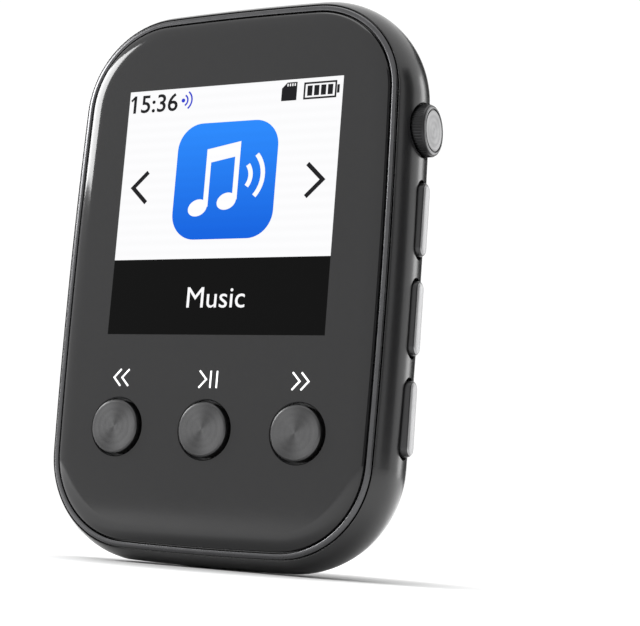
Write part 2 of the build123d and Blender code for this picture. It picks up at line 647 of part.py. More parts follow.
# Bracket on the back cover: base plate and two ears that hold the pin
EAR_X, EAR_T, LUG_X, LUG_T = 4.7, 2.0, 7.0, 2.0
BASE_T = 0.9
with BuildPart() as clip_bracket:
    with BuildSketch(layer(BACK_DEPTH)):
        with Locations((0, HINGE_Y - 0.6)):
            RectangleRounded(2 * EAR_X + EAR_T, 7.4, 0.6)
        with Locations((0, HINGE_Y + 1.0)):
            Rectangle(6.6, 5.1, mode=Mode.SUBTRACT)
    extrude(amount=-BASE_T)
    for x in (-EAR_X, EAR_X):
        with BuildSketch(section_plane(x)):
            with Locations((HINGE_DEPTH, HINGE_Y)):
                Circle(HINGE_R)
            with Locations(((BACK_DEPTH + 0.1 + HINGE_DEPTH) / 2, HINGE_Y)):
                Rectangle(HINGE_DEPTH - BACK_DEPTH - 0.1, 2 * HINGE_R)
        extrude(amount=EAR_T / 2, both=True)
    with BuildSketch(section_plane(0)):
        with Locations((HINGE_DEPTH, HINGE_Y)):
            Circle(PIN_R)
    extrude(amount=10, both=True, mode=Mode.SUBTRACT)
    with BuildSketch(layer(BACK_DEPTH)):
        with Locations((0, BRACKET_SCREW_Y)):
            with GridLocations(BRACKET_SCREW_SPACING, 1, 2, 1):
                Circle(BRACKET_SCREW_R)
    extrude(amount=-3, mode=Mode.SUBTRACT)
save(clip_bracket, "clip_bracket")

with BuildPart() as bracket_screws:
    with BuildSketch(layer(COVER_FLOOR - 0.5)):
        with Locations((0, BRACKET_SCREW_Y)):
            with GridLocations(BRACKET_SCREW_SPACING, 1, 2, 1):
                Circle(1.1)
    extrude(amount=-0.5)
    with BuildSketch(layer(COVER_FLOOR)):
        with Locations((0, BRACKET_SCREW_Y)):
            with GridLocations(BRACKET_SCREW_SPACING, 1, 2, 1):
                Circle(BRACKET_SCREW_R)
    extrude(amount=-(WALL + BASE_T))
save(bracket_screws, "bracket_screws")

with BuildPart() as clip_hinge_pin:
    with BuildSketch(section_plane(0)):
        with Locations((HINGE_DEPTH, HINGE_Y)):
            Circle(PIN_R)
    extrude(amount=LUG_X + LUG_T / 2, both=True)
    chamfer(clip_hinge_pin.edges(), 0.12)
save(clip_hinge_pin, "clip_hinge_pin")

# Outer plate of the clip, with a bevelled edge
with BuildPart() as clip_cover:
    with BuildSketch(layer(CLIP_FACE)):
        with Locations((0, (CLIP_TOP + CLIP_TIP) / 2)):
            RectangleRounded(CLIP_W, CLIP_TOP - CLIP_TIP, CLIP_R)
    extrude(amount=CLIP_COVER_T)
    chamfer(facing_back(clip_cover), 0.4)
save(clip_cover, "clip_cover")

# Inner arm of the clip: plate, two hinge lugs, the tooth that drops into the catch and the jaw at the tip
ARM_DEPTH = CLIP_FACE - CLIP_COVER_T - CLIP_ARM_T
with BuildPart() as clip_arm:
    with BuildSketch(layer(ARM_DEPTH)):
        with Locations((0, (CLIP_TOP + CLIP_TIP) / 2)):
            RectangleRounded(CLIP_W - 0.7, CLIP_TOP - CLIP_TIP - 0.7, CLIP_R - 0.3)
    extrude(amount=-CLIP_ARM_T)
    for x in (-LUG_X, LUG_X):
        with BuildSketch(section_plane(x)):
            with Locations((HINGE_DEPTH, HINGE_Y)):
                Circle(HINGE_R)
            with Locations(((ARM_DEPTH + 0.1 + HINGE_DEPTH) / 2, HINGE_Y)):
                Rectangle(ARM_DEPTH + 0.1 - HINGE_DEPTH, 2 * HINGE_R)
        extrude(amount=LUG_T / 2, both=True)
    with BuildSketch(section_plane(0)):
        with Locations((HINGE_DEPTH, HINGE_Y)):
            Circle(PIN_R + 0.05)
    extrude(amount=10, both=True, mode=Mode.SUBTRACT)
    with BuildSketch(layer(ARM_DEPTH + 0.1)):
        with Locations((0, CATCH_Y)):
            Rectangle(CATCH_L - 2.6, 1.1)
    extrude(amount=ARM_DEPTH + 0.1 - BACK_DEPTH - 0.25, taper=4)
    with BuildSketch(layer(ARM_DEPTH + 0.1)):
        with Locations((0, CLIP_TIP + 2.2)):
            Rectangle(12.0, 1.6)
    extrude(amount=ARM_DEPTH + 0.1 - BACK_DEPTH - 0.5, taper=6)
save(clip_arm, "clip_arm")

# Torsion spring round the pin, with one leg on the arm and one tucked behind the coil
COIL_R, WIRE_R, COIL_L = 1.15, 0.18, 6.0
with BuildPart() as clip_spring:
    coil_axis = Plane(
        origin=(BODY_X - COIL_L / 2, FRONT_Y + HINGE_DEPTH, MID_Z + HINGE_Y), x_dir=(0, 1, 0), z_dir=(1, 0, 0)
    )
    coil = coil_axis.from_local_coords(Helix(COIL_L / 7, COIL_L, COIL_R))
    with BuildSketch(Plane(origin=coil @ 0, z_dir=coil % 0)):
        Circle(WIRE_R)
    sweep(path=coil)
    with BuildSketch(Plane(origin=coil @ 0, z_dir=(0, 0, -1))):
        Circle(WIRE_R)
    extrude(amount=4)
save(clip_spring, "clip_spring")
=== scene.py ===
"""Looks of the clip-on audio player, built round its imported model: casing, glass, lit screen, keys and clip."""

import math

import bmesh
import bpy
import numpy as np
from mathutils import Matrix, Vector
from mathutils.bvhtree import BVHTree


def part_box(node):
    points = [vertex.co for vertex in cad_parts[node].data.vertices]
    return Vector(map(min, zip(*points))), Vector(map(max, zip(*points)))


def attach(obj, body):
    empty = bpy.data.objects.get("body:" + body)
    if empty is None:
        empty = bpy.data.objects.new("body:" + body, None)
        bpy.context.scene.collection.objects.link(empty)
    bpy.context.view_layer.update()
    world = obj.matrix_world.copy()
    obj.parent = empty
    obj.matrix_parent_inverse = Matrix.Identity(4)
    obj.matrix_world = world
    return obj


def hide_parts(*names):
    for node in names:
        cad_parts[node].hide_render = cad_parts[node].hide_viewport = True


bl_info = {
    "name": "Clip-on audio player",
    "version": (1, 0, 0),
    "blender": (4, 5, 0),
    "location": "3D View > Sidebar > Player",
    "description": "Builds the visible pieces and finishes of a clip-on audio player over its packed model",
    "category": "Object",
}

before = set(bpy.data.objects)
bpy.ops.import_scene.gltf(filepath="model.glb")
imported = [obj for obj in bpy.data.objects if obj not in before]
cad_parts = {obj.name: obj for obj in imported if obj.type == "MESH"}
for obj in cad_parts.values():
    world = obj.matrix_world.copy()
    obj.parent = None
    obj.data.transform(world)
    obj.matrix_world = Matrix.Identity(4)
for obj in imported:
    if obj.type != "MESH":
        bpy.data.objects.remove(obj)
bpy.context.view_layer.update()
MM = 0.001

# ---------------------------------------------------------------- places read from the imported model
GLASS_LO, GLASS_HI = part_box("front_glass")
CENTRE_X, FRONT_Y, MID_Z = (GLASS_LO.x + GLASS_HI.x) / 2, GLASS_LO.y, (GLASS_LO.z + GLASS_HI.z) / 2
HALF_W, HALF_H = (GLASS_HI.x - GLASS_LO.x) / 2 / MM, (GLASS_HI.z - GLASS_LO.z) / 2 / MM
GLASS_T = (GLASS_HI.y - GLASS_LO.y) / MM
KEY_NODES = ("previous_button", "play_button", "next_button")
PILL_NODES = ("volume_up_button", "volume_down_button", "mode_button")
# Local axes of a front layer: x to the right, y up, z towards the user; the side layer's z faces right
FACE = Matrix(((1, 0, 0, CENTRE_X), (0, 0, -1, FRONT_Y), (0, 1, 0, MID_Z), (0, 0, 0, 1)))

# Outline of the glass, in millimetres
CORNER_R, SIDE_BOW, END_BOW = 9.8, 0.6, 0.5
# Section of the casing: how it stands outside the glass outline, by depth behind the glass
BULGE, BULGE_DEPTH, BARREL_R, WALL = 2.25, 4.8, 7.4, 1.2
LIP_DEPTH, SEAM_DEPTH, LEDGE_DEPTH, LEDGE_T, LEDGE_IN, LIP_IN = 0.7, 9.2, 1.2, 1.15, 1.6, 0.93
RING_IN, RING_OUT, RING_DEPTH = 0.13, 0.82, 0.4
SIDE_DEPTH, BODY_HALF_W = 5.3, HALF_W + BULGE
KEY_HOLE_R = 3.28
SCREEN_Y = 7.62
PILL_W, PILL_L, PILL_GAP, PILL_R = 1.95, 8.1, 0.76, 3
PILL_FLANGE_W, PILL_FLANGE_L = 3.15, 9.4
POWER_FLOOR, POWER_POCKET_R, STEM_END = 20.55, 3.15, 18.8
# Place, aim and upward direction of the camera, in metres
CAMERA_X, CAMERA_Y, CAMERA_LENS = 0.0840, -0.14745, 83.8
CAMERA_AIM, CAMERA_UP = Vector((0.0088, -0.0003, 0.0291)), Vector((0.0162, -0.1966, 0.9803))


def outline(grow=0.0, side_steps=22, end_steps=14, corner_steps=22):
    """The player's outline, anticlockwise: a rounded rectangle with bowed sides, grown outwards by a distance."""
    half_w, half_h, corner = HALF_W + grow, HALF_H + grow, CORNER_R + grow
    corner_x, corner_y = half_w - SIDE_BOW, half_h - END_BOW
    side_r = (corner_y**2 + SIDE_BOW**2) / (2 * SIDE_BOW)
    end_r = (corner_x**2 + END_BOW**2) / (2 * END_BOW)
    side_x, end_y = half_w - side_r, half_h - end_r
    # The corner's centre lies inside both bowed sides by the corner radius
    near_side, near_end = side_r - corner, end_r - corner
    reach = math.hypot(side_x, end_y)
    along = (near_side**2 - near_end**2 + reach**2) / (2 * reach)
    off = math.sqrt(near_side**2 - along**2)
    ux, uy = -side_x / reach, end_y / reach
    centre = max((side_x + along * ux - way * off * uy, along * uy + way * off * ux) for way in (-1, 1))
    side_angle = math.atan2(centre[1], centre[0] - side_x)
    end_angle = math.atan2(centre[1] - end_y, centre[0])
    quarter = [(side_x + side_r * math.cos(a), side_r * math.sin(a))
               for a in np.linspace(0, side_angle, side_steps // 2, endpoint=False)]
    quarter += [(centre[0] + corner * math.cos(a), centre[1] + corner * math.sin(a))
                for a in np.linspace(side_angle, end_angle, corner_steps, endpoint=False)]
    quarter += [(end_r * math.cos(a), end_y + end_r * math.sin(a))
                for a in np.linspace(end_angle, math.pi / 2, end_steps // 2, endpoint=False)]
    top = [(0.0, half_h)]
    left = [(-x, y) for x, y in reversed(quarter)]
    half = quarter + top + left
    return half + [(-x, -y) for x, y in half[1:-1]]


def bulge_at(depth, inset=0.0):
    """How far the barrel side stands outside the glass outline at a depth, or its inner face does."""
    radius = BARREL_R - inset
    return BULGE - inset - radius + math.sqrt(radius**2 - (depth - BULGE_DEPTH) ** 2)


def rounded(corners, radius, steps=4):
    """A closed section with its corners rounded; a corner may carry its own radius as a third number."""
    points = []
    count = len(corners)
    for i, corner in enumerate(corners):
        here = Vector(corner[:2])
        r = corner[2] if len(corner) > 2 else radius
        back, on = Vector(corners[i - 1][:2]) - here, Vector(corners[(i + 1) % count][:2]) - here
        r = min(r, back.length / 2, on.length / 2)
        if r <= 0:
            points.append(tuple(here))
            continue
        start, end = here + back.normalized() * r, here + on.normalized() * r
        for t in np.linspace(0, 1, steps + 1):
            points.append(tuple((1 - t) ** 2 * start + 2 * t * (1 - t) * here + t**2 * end))
    return points


# ---------------------------------------------------------------- shaders

class Value:
    """A number socket of a shader tree that takes part in Python sums."""

    def __init__(self, finish, socket):
        self.finish, self.socket = finish, socket

    def math(self, operation, *others, clamp=False):
        found = self.finish.node("ShaderNodeMath", {"operation": operation, "use_clamp": clamp},
                                 dict(enumerate((self, *others))))
        return Value(self.finish, found.outputs[0])

    def __add__(self, other):
        return self.math("ADD", other)

    def __sub__(self, other):
        return self.math("SUBTRACT", other)

    def __mul__(self, other):
        return self.math("MULTIPLY", other)

    def __truediv__(self, other):
        return self.math("DIVIDE", other)

    def __rsub__(self, other):
        return self.math("MULTIPLY_ADD", -1.0, other)

    __radd__, __rmul__ = __add__, __mul__


def fill(tree, socket, value):
    """Links a value to a socket, or sets it there."""
    if isinstance(value, Value):
        value = value.socket
    if isinstance(value, bpy.types.NodeSocket):
        tree.links.new(value, socket)
    else:
        socket.default_value = value


def add_node(tree, kind, settings, sockets):
    """Adds a node to a tree: its settings first, then the values or links of its sockets."""
    made = tree.nodes.new(kind)
    for key, value in settings.items():
        setattr(made, key, value)
    for key, value in sockets.items():
        fill(tree, made.inputs[key], value)
    return made


class Finish:
    """A material under construction round one Principled shader."""

    def __init__(self, name, colour, roughness, **constants):
        self.material = bpy.data.materials.new(name)
        self.material.use_nodes = True
        self.tree = self.material.node_tree
        self.tree.nodes.clear()
        self.shader = self.node("ShaderNodeBsdfPrincipled", {}, {
            "Base Color": (*colour, 1), "Roughness": roughness,
            **{key.replace("_", " ").title().replace("Ior", "IOR"): v for key, v in constants.items()}})
        self.node("ShaderNodeOutputMaterial", {}, {"Surface": self.shader.outputs[0]})
        self.material.diffuse_color = (*colour, 1)

    @classmethod
    def over(cls, material):
        """Takes up a finished material again, to add to it."""
        finish = cls.__new__(cls)
        finish.material, finish.tree = material, material.node_tree
        finish.shader = next(n for n in finish.tree.nodes if n.type == "BSDF_PRINCIPLED")
        return finish

    def node(self, kind, settings, sockets):
        """Adds a node to the material."""
        return add_node(self.tree, kind, settings, sockets)

    def point(self, centre=(0, 0, 0), scale=(1, 1, 1), turn=(0, 0, 0)):
        """Object coordinates, moved to a centre and stretched."""
        coords = self.node("ShaderNodeTexCoord", {}, {})
        moved = self.node("ShaderNodeMapping", {"vector_type": "TEXTURE"}, {
            "Vector": coords.outputs["Object"], "Location": centre, "Rotation": turn,
            "Scale": tuple(1 / s for s in scale)})
        return moved.outputs[0]

    def axes(self, vector):
        """The three numbers of a vector."""
        split = self.node("ShaderNodeSeparateXYZ", {}, {"Vector": vector})
        return [Value(self, split.outputs[i]) for i in range(3)]

    def noise(self, vector, scale, detail=2.0, roughness=0.5):
        """Soft noise, from 0 to 1, with features of about 1 / scale."""
        made = self.node("ShaderNodeTexNoise", {}, {
            "Vector": vector, "Scale": scale, "Detail": detail, "Roughness": roughness})
        return Value(self, made.outputs[0])

    def mix(self, factor, low, high):
        """Blend of two colours."""
        made = self.node("ShaderNodeMix", {"data_type": "RGBA"}, {0: factor, 6: low, 7: high})
        return made.outputs[2]

    def set(self, **inputs):
        """Links or sets sockets of the shader."""
        for key, value in inputs.items():
            fill(self.tree, self.shader.inputs[key.replace("_", " ").title()], value)
        return self

    def bump(self, height, strength, distance):
        """Relief from a height value, distance in metres."""
        made = self.node("ShaderNodeBump", {}, {"Strength": strength, "Distance": distance, "Height": height})
        return self.set(normal=made.outputs[0])


def shades(colour, spread):
    """A darker and a lighter shade of a colour."""
    return tuple(c * (1 - spread) for c in colour), tuple(min(1.0, c * (1 + spread)) for c in colour)


def moulded(name, colour, roughness, grain=4000, relief=0.00001, spread=0.06, rough_spread=0.08, **constants):
    """Moulded plastic: fine spark grain, soft tone and roughness changes."""
    finish = Finish(name, colour, roughness, **constants)
    place = finish.point()
    broad, fine = finish.noise(place, 90, 3), finish.noise(place, grain, 2)
    low, high = shades(colour, spread)
    finish.set(base_color=finish.mix(broad, (*low, 1), (*high, 1)),
               roughness=broad * rough_spread + fine * rough_spread + (roughness - rough_spread))
    return finish.bump(fine, 0.35, relief).material


def drawn_metal(name, colour, roughness, along=(1, 1, 1), streaks=2600, relief=0.000006, spread=0.12,
                metallic=1.0, **constants):
    """Metal with fine drawn or brushed streaks; the axis with the small number is the long way of the streaks."""
    finish = Finish(name, colour, roughness, metallic=metallic, **constants)
    place = finish.point(scale=along)
    line, cloud = finish.noise(place, streaks, 3, 0.6), finish.noise(finish.point(), 140, 2)
    low, high = shades(colour, spread)
    finish.set(base_color=finish.mix(line, (*low, 1), (*high, 1)),
               roughness=line * 0.14 + cloud * 0.1 + (roughness - 0.12))
    return finish.bump(line, 0.3, relief).material


def spun_metal(name, colour, roughness, centre, facing="Y", rings=9000, sectors=5.0, spread=0.3):
    """Spun metal: fine rings round a centre, with broad sheens painted into the colour, spreading out from it."""
    finish = Finish(name, colour, roughness, metallic=1.0)
    x, y, z = finish.axes(finish.point(centre))
    across, up = (x, z) if facing == "Y" else (y, z)
    radius = (across * across + up * up).math("SQRT")
    angle = up.math("ARCTAN2", across)
    # Painted sheen: lighter and darker sectors round the centre, painted into the colour in place of the highlights
    # that spun metal throws.
    painted_sheen = (angle * 2.0 + 0.9).math("COSINE") * 0.5 + (angle * sectors).math("SINE") * 0.22 + 0.5
    ring = (radius * rings).math("SINE") * 0.5 + 0.5
    fine = finish.noise(finish.point(centre), 5200, 2)
    low, high = shades(colour, spread)
    tone = painted_sheen * 0.7 + fine * 0.3
    finish.set(base_color=finish.mix(tone, (*low, 1), (*high, 1)),
               roughness=ring * 0.08 + fine * 0.08 + (roughness - 0.06))
    return finish.bump(ring * 0.7 + fine * 0.3, 0.25, 0.000008).material


def paint_light_on_walls(material, edge, side, wall, axis=0, blur=0.00004):
    """Paints light into the walls of a key or plate, behind a place along an axis: a colour and roughness of their
    own, darker as painted shade, lighter as a painted highlight.
    """
    finish = Finish.over(material)
    place = finish.axes(finish.point())[axis]
    front = ((place - edge) * (side / blur) + 0.5).math("MINIMUM", 1.0).math("MAXIMUM", 0.0)
    for key, value in zip(("Base Color", "Roughness"), wall):
        source = finish.shader.inputs[key].links[0].from_socket
        if key == "Base Color":
            finish.set(base_color=finish.mix(front, (*value, 1), source))
        else:
            finish.set(roughness=Value(finish, source) * front + (1 - front) * value)
    return material


def black_glass(name, colour, roughness):
    """Printed black behind polished glass, with faint wipe marks in its gloss."""
    finish = Finish(name, colour, roughness, ior=1.46)
    smear = finish.noise(finish.point(scale=(1, 1, 0.35)), 120, 3)
    dust = finish.noise(finish.point(), 2600, 2)
    low, high = shades(colour, 0.12)
    finish.set(base_color=finish.mix(dust, (*low, 1), (*high, 1)),
               roughness=smear * 0.05 + dust * 0.02 + (roughness - 0.02))
    return finish.material


def lit(name, top, low_z, high_z, power=1.0, bottom=None, rows=5200):
    """A lit screen area: one colour or a gradient up the screen, with the panel's fine rows, under glass."""
    finish = Finish(name, (0.0, 0.0, 0.0), 0.1, specular_ior_level=0.08, emission_strength=power)
    _, _, z = finish.axes(finish.point())
    up = ((z - low_z) / (high_z - low_z)).math("MINIMUM", 1.0).math("MAXIMUM", 0.0)
    colour = finish.mix(up, (*(bottom or top), 1), (*top, 1))
    row = (z * rows).math("SINE") * 0.01 + 0.99
    shade = finish.node("ShaderNodeVectorMath", {"operation": "SCALE"}, {0: colour, "Scale": row})
    finish.set(emission_color=shade.outputs[0], roughness=finish.noise(finish.point(), 900, 2) * 0.04 + 0.06)
    return finish.material


def ink(name, colour, roughness=0.35, power=0.0):
    """Printed ink or a drawn sign: one colour with a fine mottle; with a power above nought it also glows, a painted
    brightness.
    """
    finish = Finish(name, colour, roughness, emission_strength=power)
    mottle = finish.noise(finish.point(), 3000, 2)
    low, high = shades(colour, 0.04)
    tone = finish.mix(mottle, (*low, 1), (*high, 1))
    finish.set(base_color=tone, roughness=mottle * 0.1 + (roughness - 0.05))
    if power:
        finish.set(emission_color=tone)
    return finish.material


def soft_foam(name, colour, cell=1800):
    """Rubber or foam: open cells in the relief, with painted shade darkening the tone in the cells' hollows."""
    finish = Finish(name, colour, 0.85)
    cells = finish.node("ShaderNodeTexVoronoi", {}, {"Vector": finish.point(), "Scale": cell})
    depth = Value(finish, cells.outputs["Distance"])
    low, high = shades(colour, 0.25)
    # Painted shade: the tone is darkest at the cells' middles, where the relief sinks into pits.
    finish.set(base_color=finish.mix(depth, (*low, 1), (*high, 1)), roughness=depth * 0.2 + 0.72)
    return finish.bump(depth, 0.4, 0.00003).material


def circuit_board(name, colour):
    """Solder mask over copper tracks that run both ways."""
    finish = Finish(name, colour, 0.35)
    x, _, z = finish.axes(finish.point())
    bend = finish.noise(finish.point(), 160, 1) * 6.0
    tracks = ((x * 5200 + bend).math("SINE")).math("MULTIPLY", (z * 3400 + bend).math("SINE"))
    mask = tracks.math("GREATER_THAN", 0.25)
    light = tuple(min(1.0, c * 1.9 + 0.01) for c in colour)
    finish.set(base_color=finish.mix(mask, (*colour, 1), (*light, 1)), roughness=0.42 - mask * 0.1)
    return finish.bump(mask, 0.2, 0.00002).material


# ---------------------------------------------------------------- meshes

def new_object(name, mesh):
    """Links a new object at the origin."""
    made = bpy.data.objects.new(name, mesh)
    bpy.context.scene.collection.objects.link(made)
    return made


def mesh_of(name, vertices, faces, edges=()):
    """A mesh from lists of points, faces and loose edges."""
    mesh = bpy.data.meshes.new(name)
    mesh.from_pydata([tuple(v) for v in vertices], list(edges), faces)
    mesh.update()
    return mesh


def wire_loop(name, points, closed=True):
    """An object that holds only a line of edges through flat points."""
    count = len(points)
    edges = [(i, (i + 1) % count) for i in range(count if closed else count - 1)]
    return new_object(name, mesh_of(name, [(p[0], p[1], 0.0) for p in points], [], edges))


def baked(holder):
    """The evaluated shape of an object as a plain mesh; the holder is removed."""
    bpy.context.view_layer.update()
    graph = bpy.context.evaluated_depsgraph_get()
    mesh = bpy.data.meshes.new_from_object(holder.evaluated_get(graph))
    bpy.data.objects.remove(holder)
    return mesh


def smooth(mesh, angle=35):
    """Smooth shading that keeps edges sharper than an angle."""
    mesh.polygons.foreach_set("use_smooth", [True] * len(mesh.polygons))
    mesh.set_sharp_from_angle(angle=math.radians(angle))
    return mesh


def outward(mesh):
    """Merges doubles and turns all faces outwards."""
    work = bmesh.new()
    work.from_mesh(mesh)
    bmesh.ops.remove_doubles(work, verts=work.verts, dist=1e-7)
    bmesh.ops.recalc_face_normals(work, faces=work.faces)
    work.to_mesh(mesh)
    work.free()
    return mesh


def stack(name, loops, depths, matrix=FACE, angle=35):
    """A closed solid through loops of equal point counts, one at each depth, in millimetres."""
    count = len(loops[0])
    vertices, faces = [], []
    for loop, depth in zip(loops, depths):
        vertices += [matrix @ Vector((x * MM, y * MM, -depth * MM)) for x, y in loop]
    for level in range(len(loops) - 1):
        a, b = level * count, (level + 1) * count
        faces += [(b + i, b + (i + 1) % count, a + (i + 1) % count, a + i) for i in range(count)]
    faces.append(tuple(range(count)))
    faces.append(tuple(reversed(range(len(vertices) - count, len(vertices)))))
    return smooth(outward(mesh_of(name, vertices, faces)), angle)


def rounded_box_loop(width, height, radius, steps=10):
    """Anticlockwise rounded rectangle round the origin."""
    radius = max(0.01, min(radius, width / 2, height / 2))
    points = []
    for quarter, (sx, sy) in enumerate(((1, 1), (-1, 1), (-1, -1), (1, -1))):
        cx, cy = sx * (width / 2 - radius), sy * (height / 2 - radius)
        for step in np.linspace(0, math.pi / 2, steps + 1):
            a = step + quarter * math.pi / 2
            points.append((cx + radius * math.cos(a), cy + radius * math.sin(a)))
    return points


def lathe(name, profile, matrix, steps=72, angle=35):
    """A turned solid about the local z axis: profile points are (radius, height); both ends close on the axis."""
    vertices, rings = [], []
    for radius, height in profile:
        if radius < 1e-6:
            rings.append([len(vertices)])
            vertices.append(matrix @ Vector((0, 0, height * MM)))
        else:
            rings.append(list(range(len(vertices), len(vertices) + steps)))
            vertices += [matrix @ Vector((radius * MM * math.cos(a), radius * MM * math.sin(a), height * MM))
                         for a in np.linspace(0, 2 * math.pi, steps, endpoint=False)]
    faces = []
    for low, high in zip(rings, rings[1:]):
        for i in range(steps):
            j = (i + 1) % steps
            face = [low[i % len(low)], low[j % len(low)], high[j % len(high)], high[i % len(high)]]
            faces.append(tuple(dict.fromkeys(face)))
    return smooth(outward(mesh_of(name, vertices, faces)), angle)


def cut(mesh, cutters, operation="DIFFERENCE"):
    """Cuts closed cutter meshes out of a mesh, or joins them to it."""
    holder = new_object("cutting", mesh)
    tools = []
    for cutter in cutters:
        tool = new_object("cutter", cutter)
        tools.append(tool)
        modifier = holder.modifiers.new("cut", "BOOLEAN")
        modifier.object, modifier.operation, modifier.solver = tool, operation, "EXACT"
    result = baked(holder)
    for tool in tools:
        bpy.data.objects.remove(tool)
    return result


def keep_curvature(mesh, plain, limit=25):
    """Gives faces that still lie on the uncut shape its smooth normals, so a cut leaves no dents in the gloss."""
    plain.calc_loop_triangles()
    tree = BVHTree.FromPolygons([v.co for v in plain.vertices], [t.vertices for t in plain.loop_triangles])
    corner_normals = [Vector(n.vector) for n in plain.corner_normals]
    triangles = [(t.loops, t.vertices) for t in plain.loop_triangles]
    normals = [Vector(n.vector) for n in mesh.corner_normals]
    least = math.cos(math.radians(limit))
    for face in mesh.polygons:
        middle = tree.find_nearest(face.center)
        if middle[3] > 0.02 * MM or middle[1].dot(face.normal) < least:
            continue
        for loop in face.loop_indices:
            spot = mesh.vertices[mesh.loops[loop].vertex_index].co
            near, _, index, _ = tree.find_nearest(spot.lerp(face.center, 0.02))
            loops, corners = triangles[index]
            a, b, c = (plain.vertices[i].co for i in corners)
            weights = barycentric(near, a, b, c)
            blend = sum((corner_normals[k] * w for k, w in zip(loops, weights)), Vector())
            if blend.length > 0.5:
                normals[loop] = blend.normalized()
    mesh.normals_split_custom_set([tuple(n) for n in normals])
    return mesh


def barycentric(point, a, b, c):
    """Weights of a point in a triangle, cut to the triangle."""
    ab, ac, ap = b - a, c - a, point - a
    d00, d01, d11, d20, d21 = ab.dot(ab), ab.dot(ac), ac.dot(ac), ap.dot(ab), ap.dot(ac)
    area = d00 * d11 - d01 * d01
    if abs(area) < 1e-30:
        return (1.0, 0.0, 0.0)
    v, w = (d11 * d20 - d01 * d21) / area, (d00 * d21 - d01 * d20) / area
    weights = [max(0.0, 1 - v - w), max(0.0, v), max(0.0, w)]
    total = sum(weights)
    return tuple(x / total for x in weights)


def band(points, width):
    """The closed outline of a line drawn with a flat pen of one width, with mitred corners."""
    points = [Vector(p) for p in points]
    left, right = [], []
    for i, p in enumerate(points):
        into = (p - points[i - 1]).normalized() if i else None
        out = (points[i + 1] - p).normalized() if i + 1 < len(points) else None
        into, out = into or out, out or into
        side = Vector((-(into + out).y, (into + out).x)).normalized()
        reach = width / 2 / max(0.35, side.dot(Vector((-into.y, into.x))))
        left.append(tuple(p + side * reach))
        right.append(tuple(p - side * reach))
    return left + right[::-1]


def arc(centre, radius, start, end, steps=12):
    """Points along an arc, angles in degrees."""
    return [(centre[0] + radius * math.cos(math.radians(a)), centre[1] + radius * math.sin(math.radians(a)))
            for a in np.linspace(start, end, steps)]


def printed(name, loops, lift, thickness=0.02, matrix=FACE):
    """A thin printed or lit shape on the glass: closed flat loops, with loops inside others left open."""
    curve = bpy.data.curves.new(name, "CURVE")
    curve.dimensions, curve.fill_mode, curve.extrude = "2D", "BOTH", thickness / 2
    for loop in loops:
        spline = curve.splines.new("POLY")
        spline.points.add(len(loop) - 1)
        for point, (x, y) in zip(spline.points, loop):
            point.co = (x, y, 0.0, 1.0)
        spline.use_cyclic_u = True
    mesh = baked(new_object(name, curve))
    return placed(mesh, lift, thickness, matrix)


def placed(mesh, lift, thickness, matrix):
    """Sets a flat millimetre mesh on the glass so that its face stands a height in front of it."""
    mesh.transform(matrix @ Matrix.Diagonal((MM, MM, MM, 1)) @ Matrix.Translation((0, 0, lift - thickness / 2)))
    mesh.materials.clear()
    return outward(mesh)


def lettered(name, text, size, middle, lift, thickness=0.02, squeeze=1.0, weight=0.0, matrix=FACE):
    """Plain text as a thin mesh, centred on a place on the glass."""
    curve = bpy.data.curves.new(name, "FONT")
    curve.body, curve.size, curve.extrude, curve.align_x = text, size, thickness / 2, "CENTER"
    curve.resolution_u, curve.offset = 4, weight
    mesh = baked(new_object(name, curve))
    low = min(v.co.y for v in mesh.vertices)
    high = max(v.co.y for v in mesh.vertices)
    mesh.transform(Matrix.Translation((middle[0], middle[1], 0)) @ Matrix.Diagonal((squeeze, 1, 1, 1))
                   @ Matrix.Translation((0, -(low + high) / 2, 0)))
    return placed(mesh, lift, thickness, matrix)


def joined(name, meshes):
    """One mesh out of several."""
    work = bmesh.new()
    for mesh in meshes:
        work.from_mesh(mesh)
    result = bpy.data.meshes.new(name)
    work.to_mesh(result)
    work.free()
    return result


def piece(name, mesh, material, body, slot, *nodes):
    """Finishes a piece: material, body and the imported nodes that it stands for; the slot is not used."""
    mesh.name = name
    mesh.materials.clear()
    mesh.materials.append(material)
    made = new_object(name, mesh)
    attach(made, body)
    if nodes:
        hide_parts(*nodes)
    return made


# ---------------------------------------------------------------- geometry trees

class Tree:
    """A Geometry Nodes tree with named inputs, ending in Realize Instances and Set Material."""

    def __init__(self, name, inputs):
        self.group = bpy.data.node_groups.new(name, "GeometryNodeTree")
        face = self.group.interface
        face.new_socket("Geometry", in_out="INPUT", socket_type="NodeSocketGeometry")
        self.keys = {label: face.new_socket(label, in_out="INPUT", socket_type=kind).identifier
                     for label, kind in inputs.items()}
        last = face.new_socket("Material", in_out="INPUT", socket_type="NodeSocketMaterial")
        self.keys["Material"] = last.identifier
        face.new_socket("Geometry", in_out="OUTPUT", socket_type="NodeSocketGeometry")
        self.start = self.group.nodes.new("NodeGroupInput")

    def node(self, kind, settings, sockets):
        """Adds a node to the tree."""
        return add_node(self.group, kind, settings, sockets)

    def given(self, label):
        """Output socket of a named input."""
        return self.start.outputs[label]

    def close(self, geometry):
        """Realizes instances, sets the material and links the output."""
        real = self.node("GeometryNodeRealizeInstances", {}, {0: geometry})
        dressed = self.node("GeometryNodeSetMaterial", {}, {0: real.outputs[0], "Material": self.given("Material")})
        self.node("NodeGroupOutput", {}, {0: dressed.outputs[0]})
        return self

    def run(self, base, **values):
        """Runs the tree on a base object and returns the plain mesh; the base is removed."""
        modifier = base.modifiers.new(self.group.name, "NODES")
        modifier.node_group = self.group
        for label, value in values.items():
            modifier[self.keys[label.replace("_", " ").capitalize()]] = value
        return baked(base)


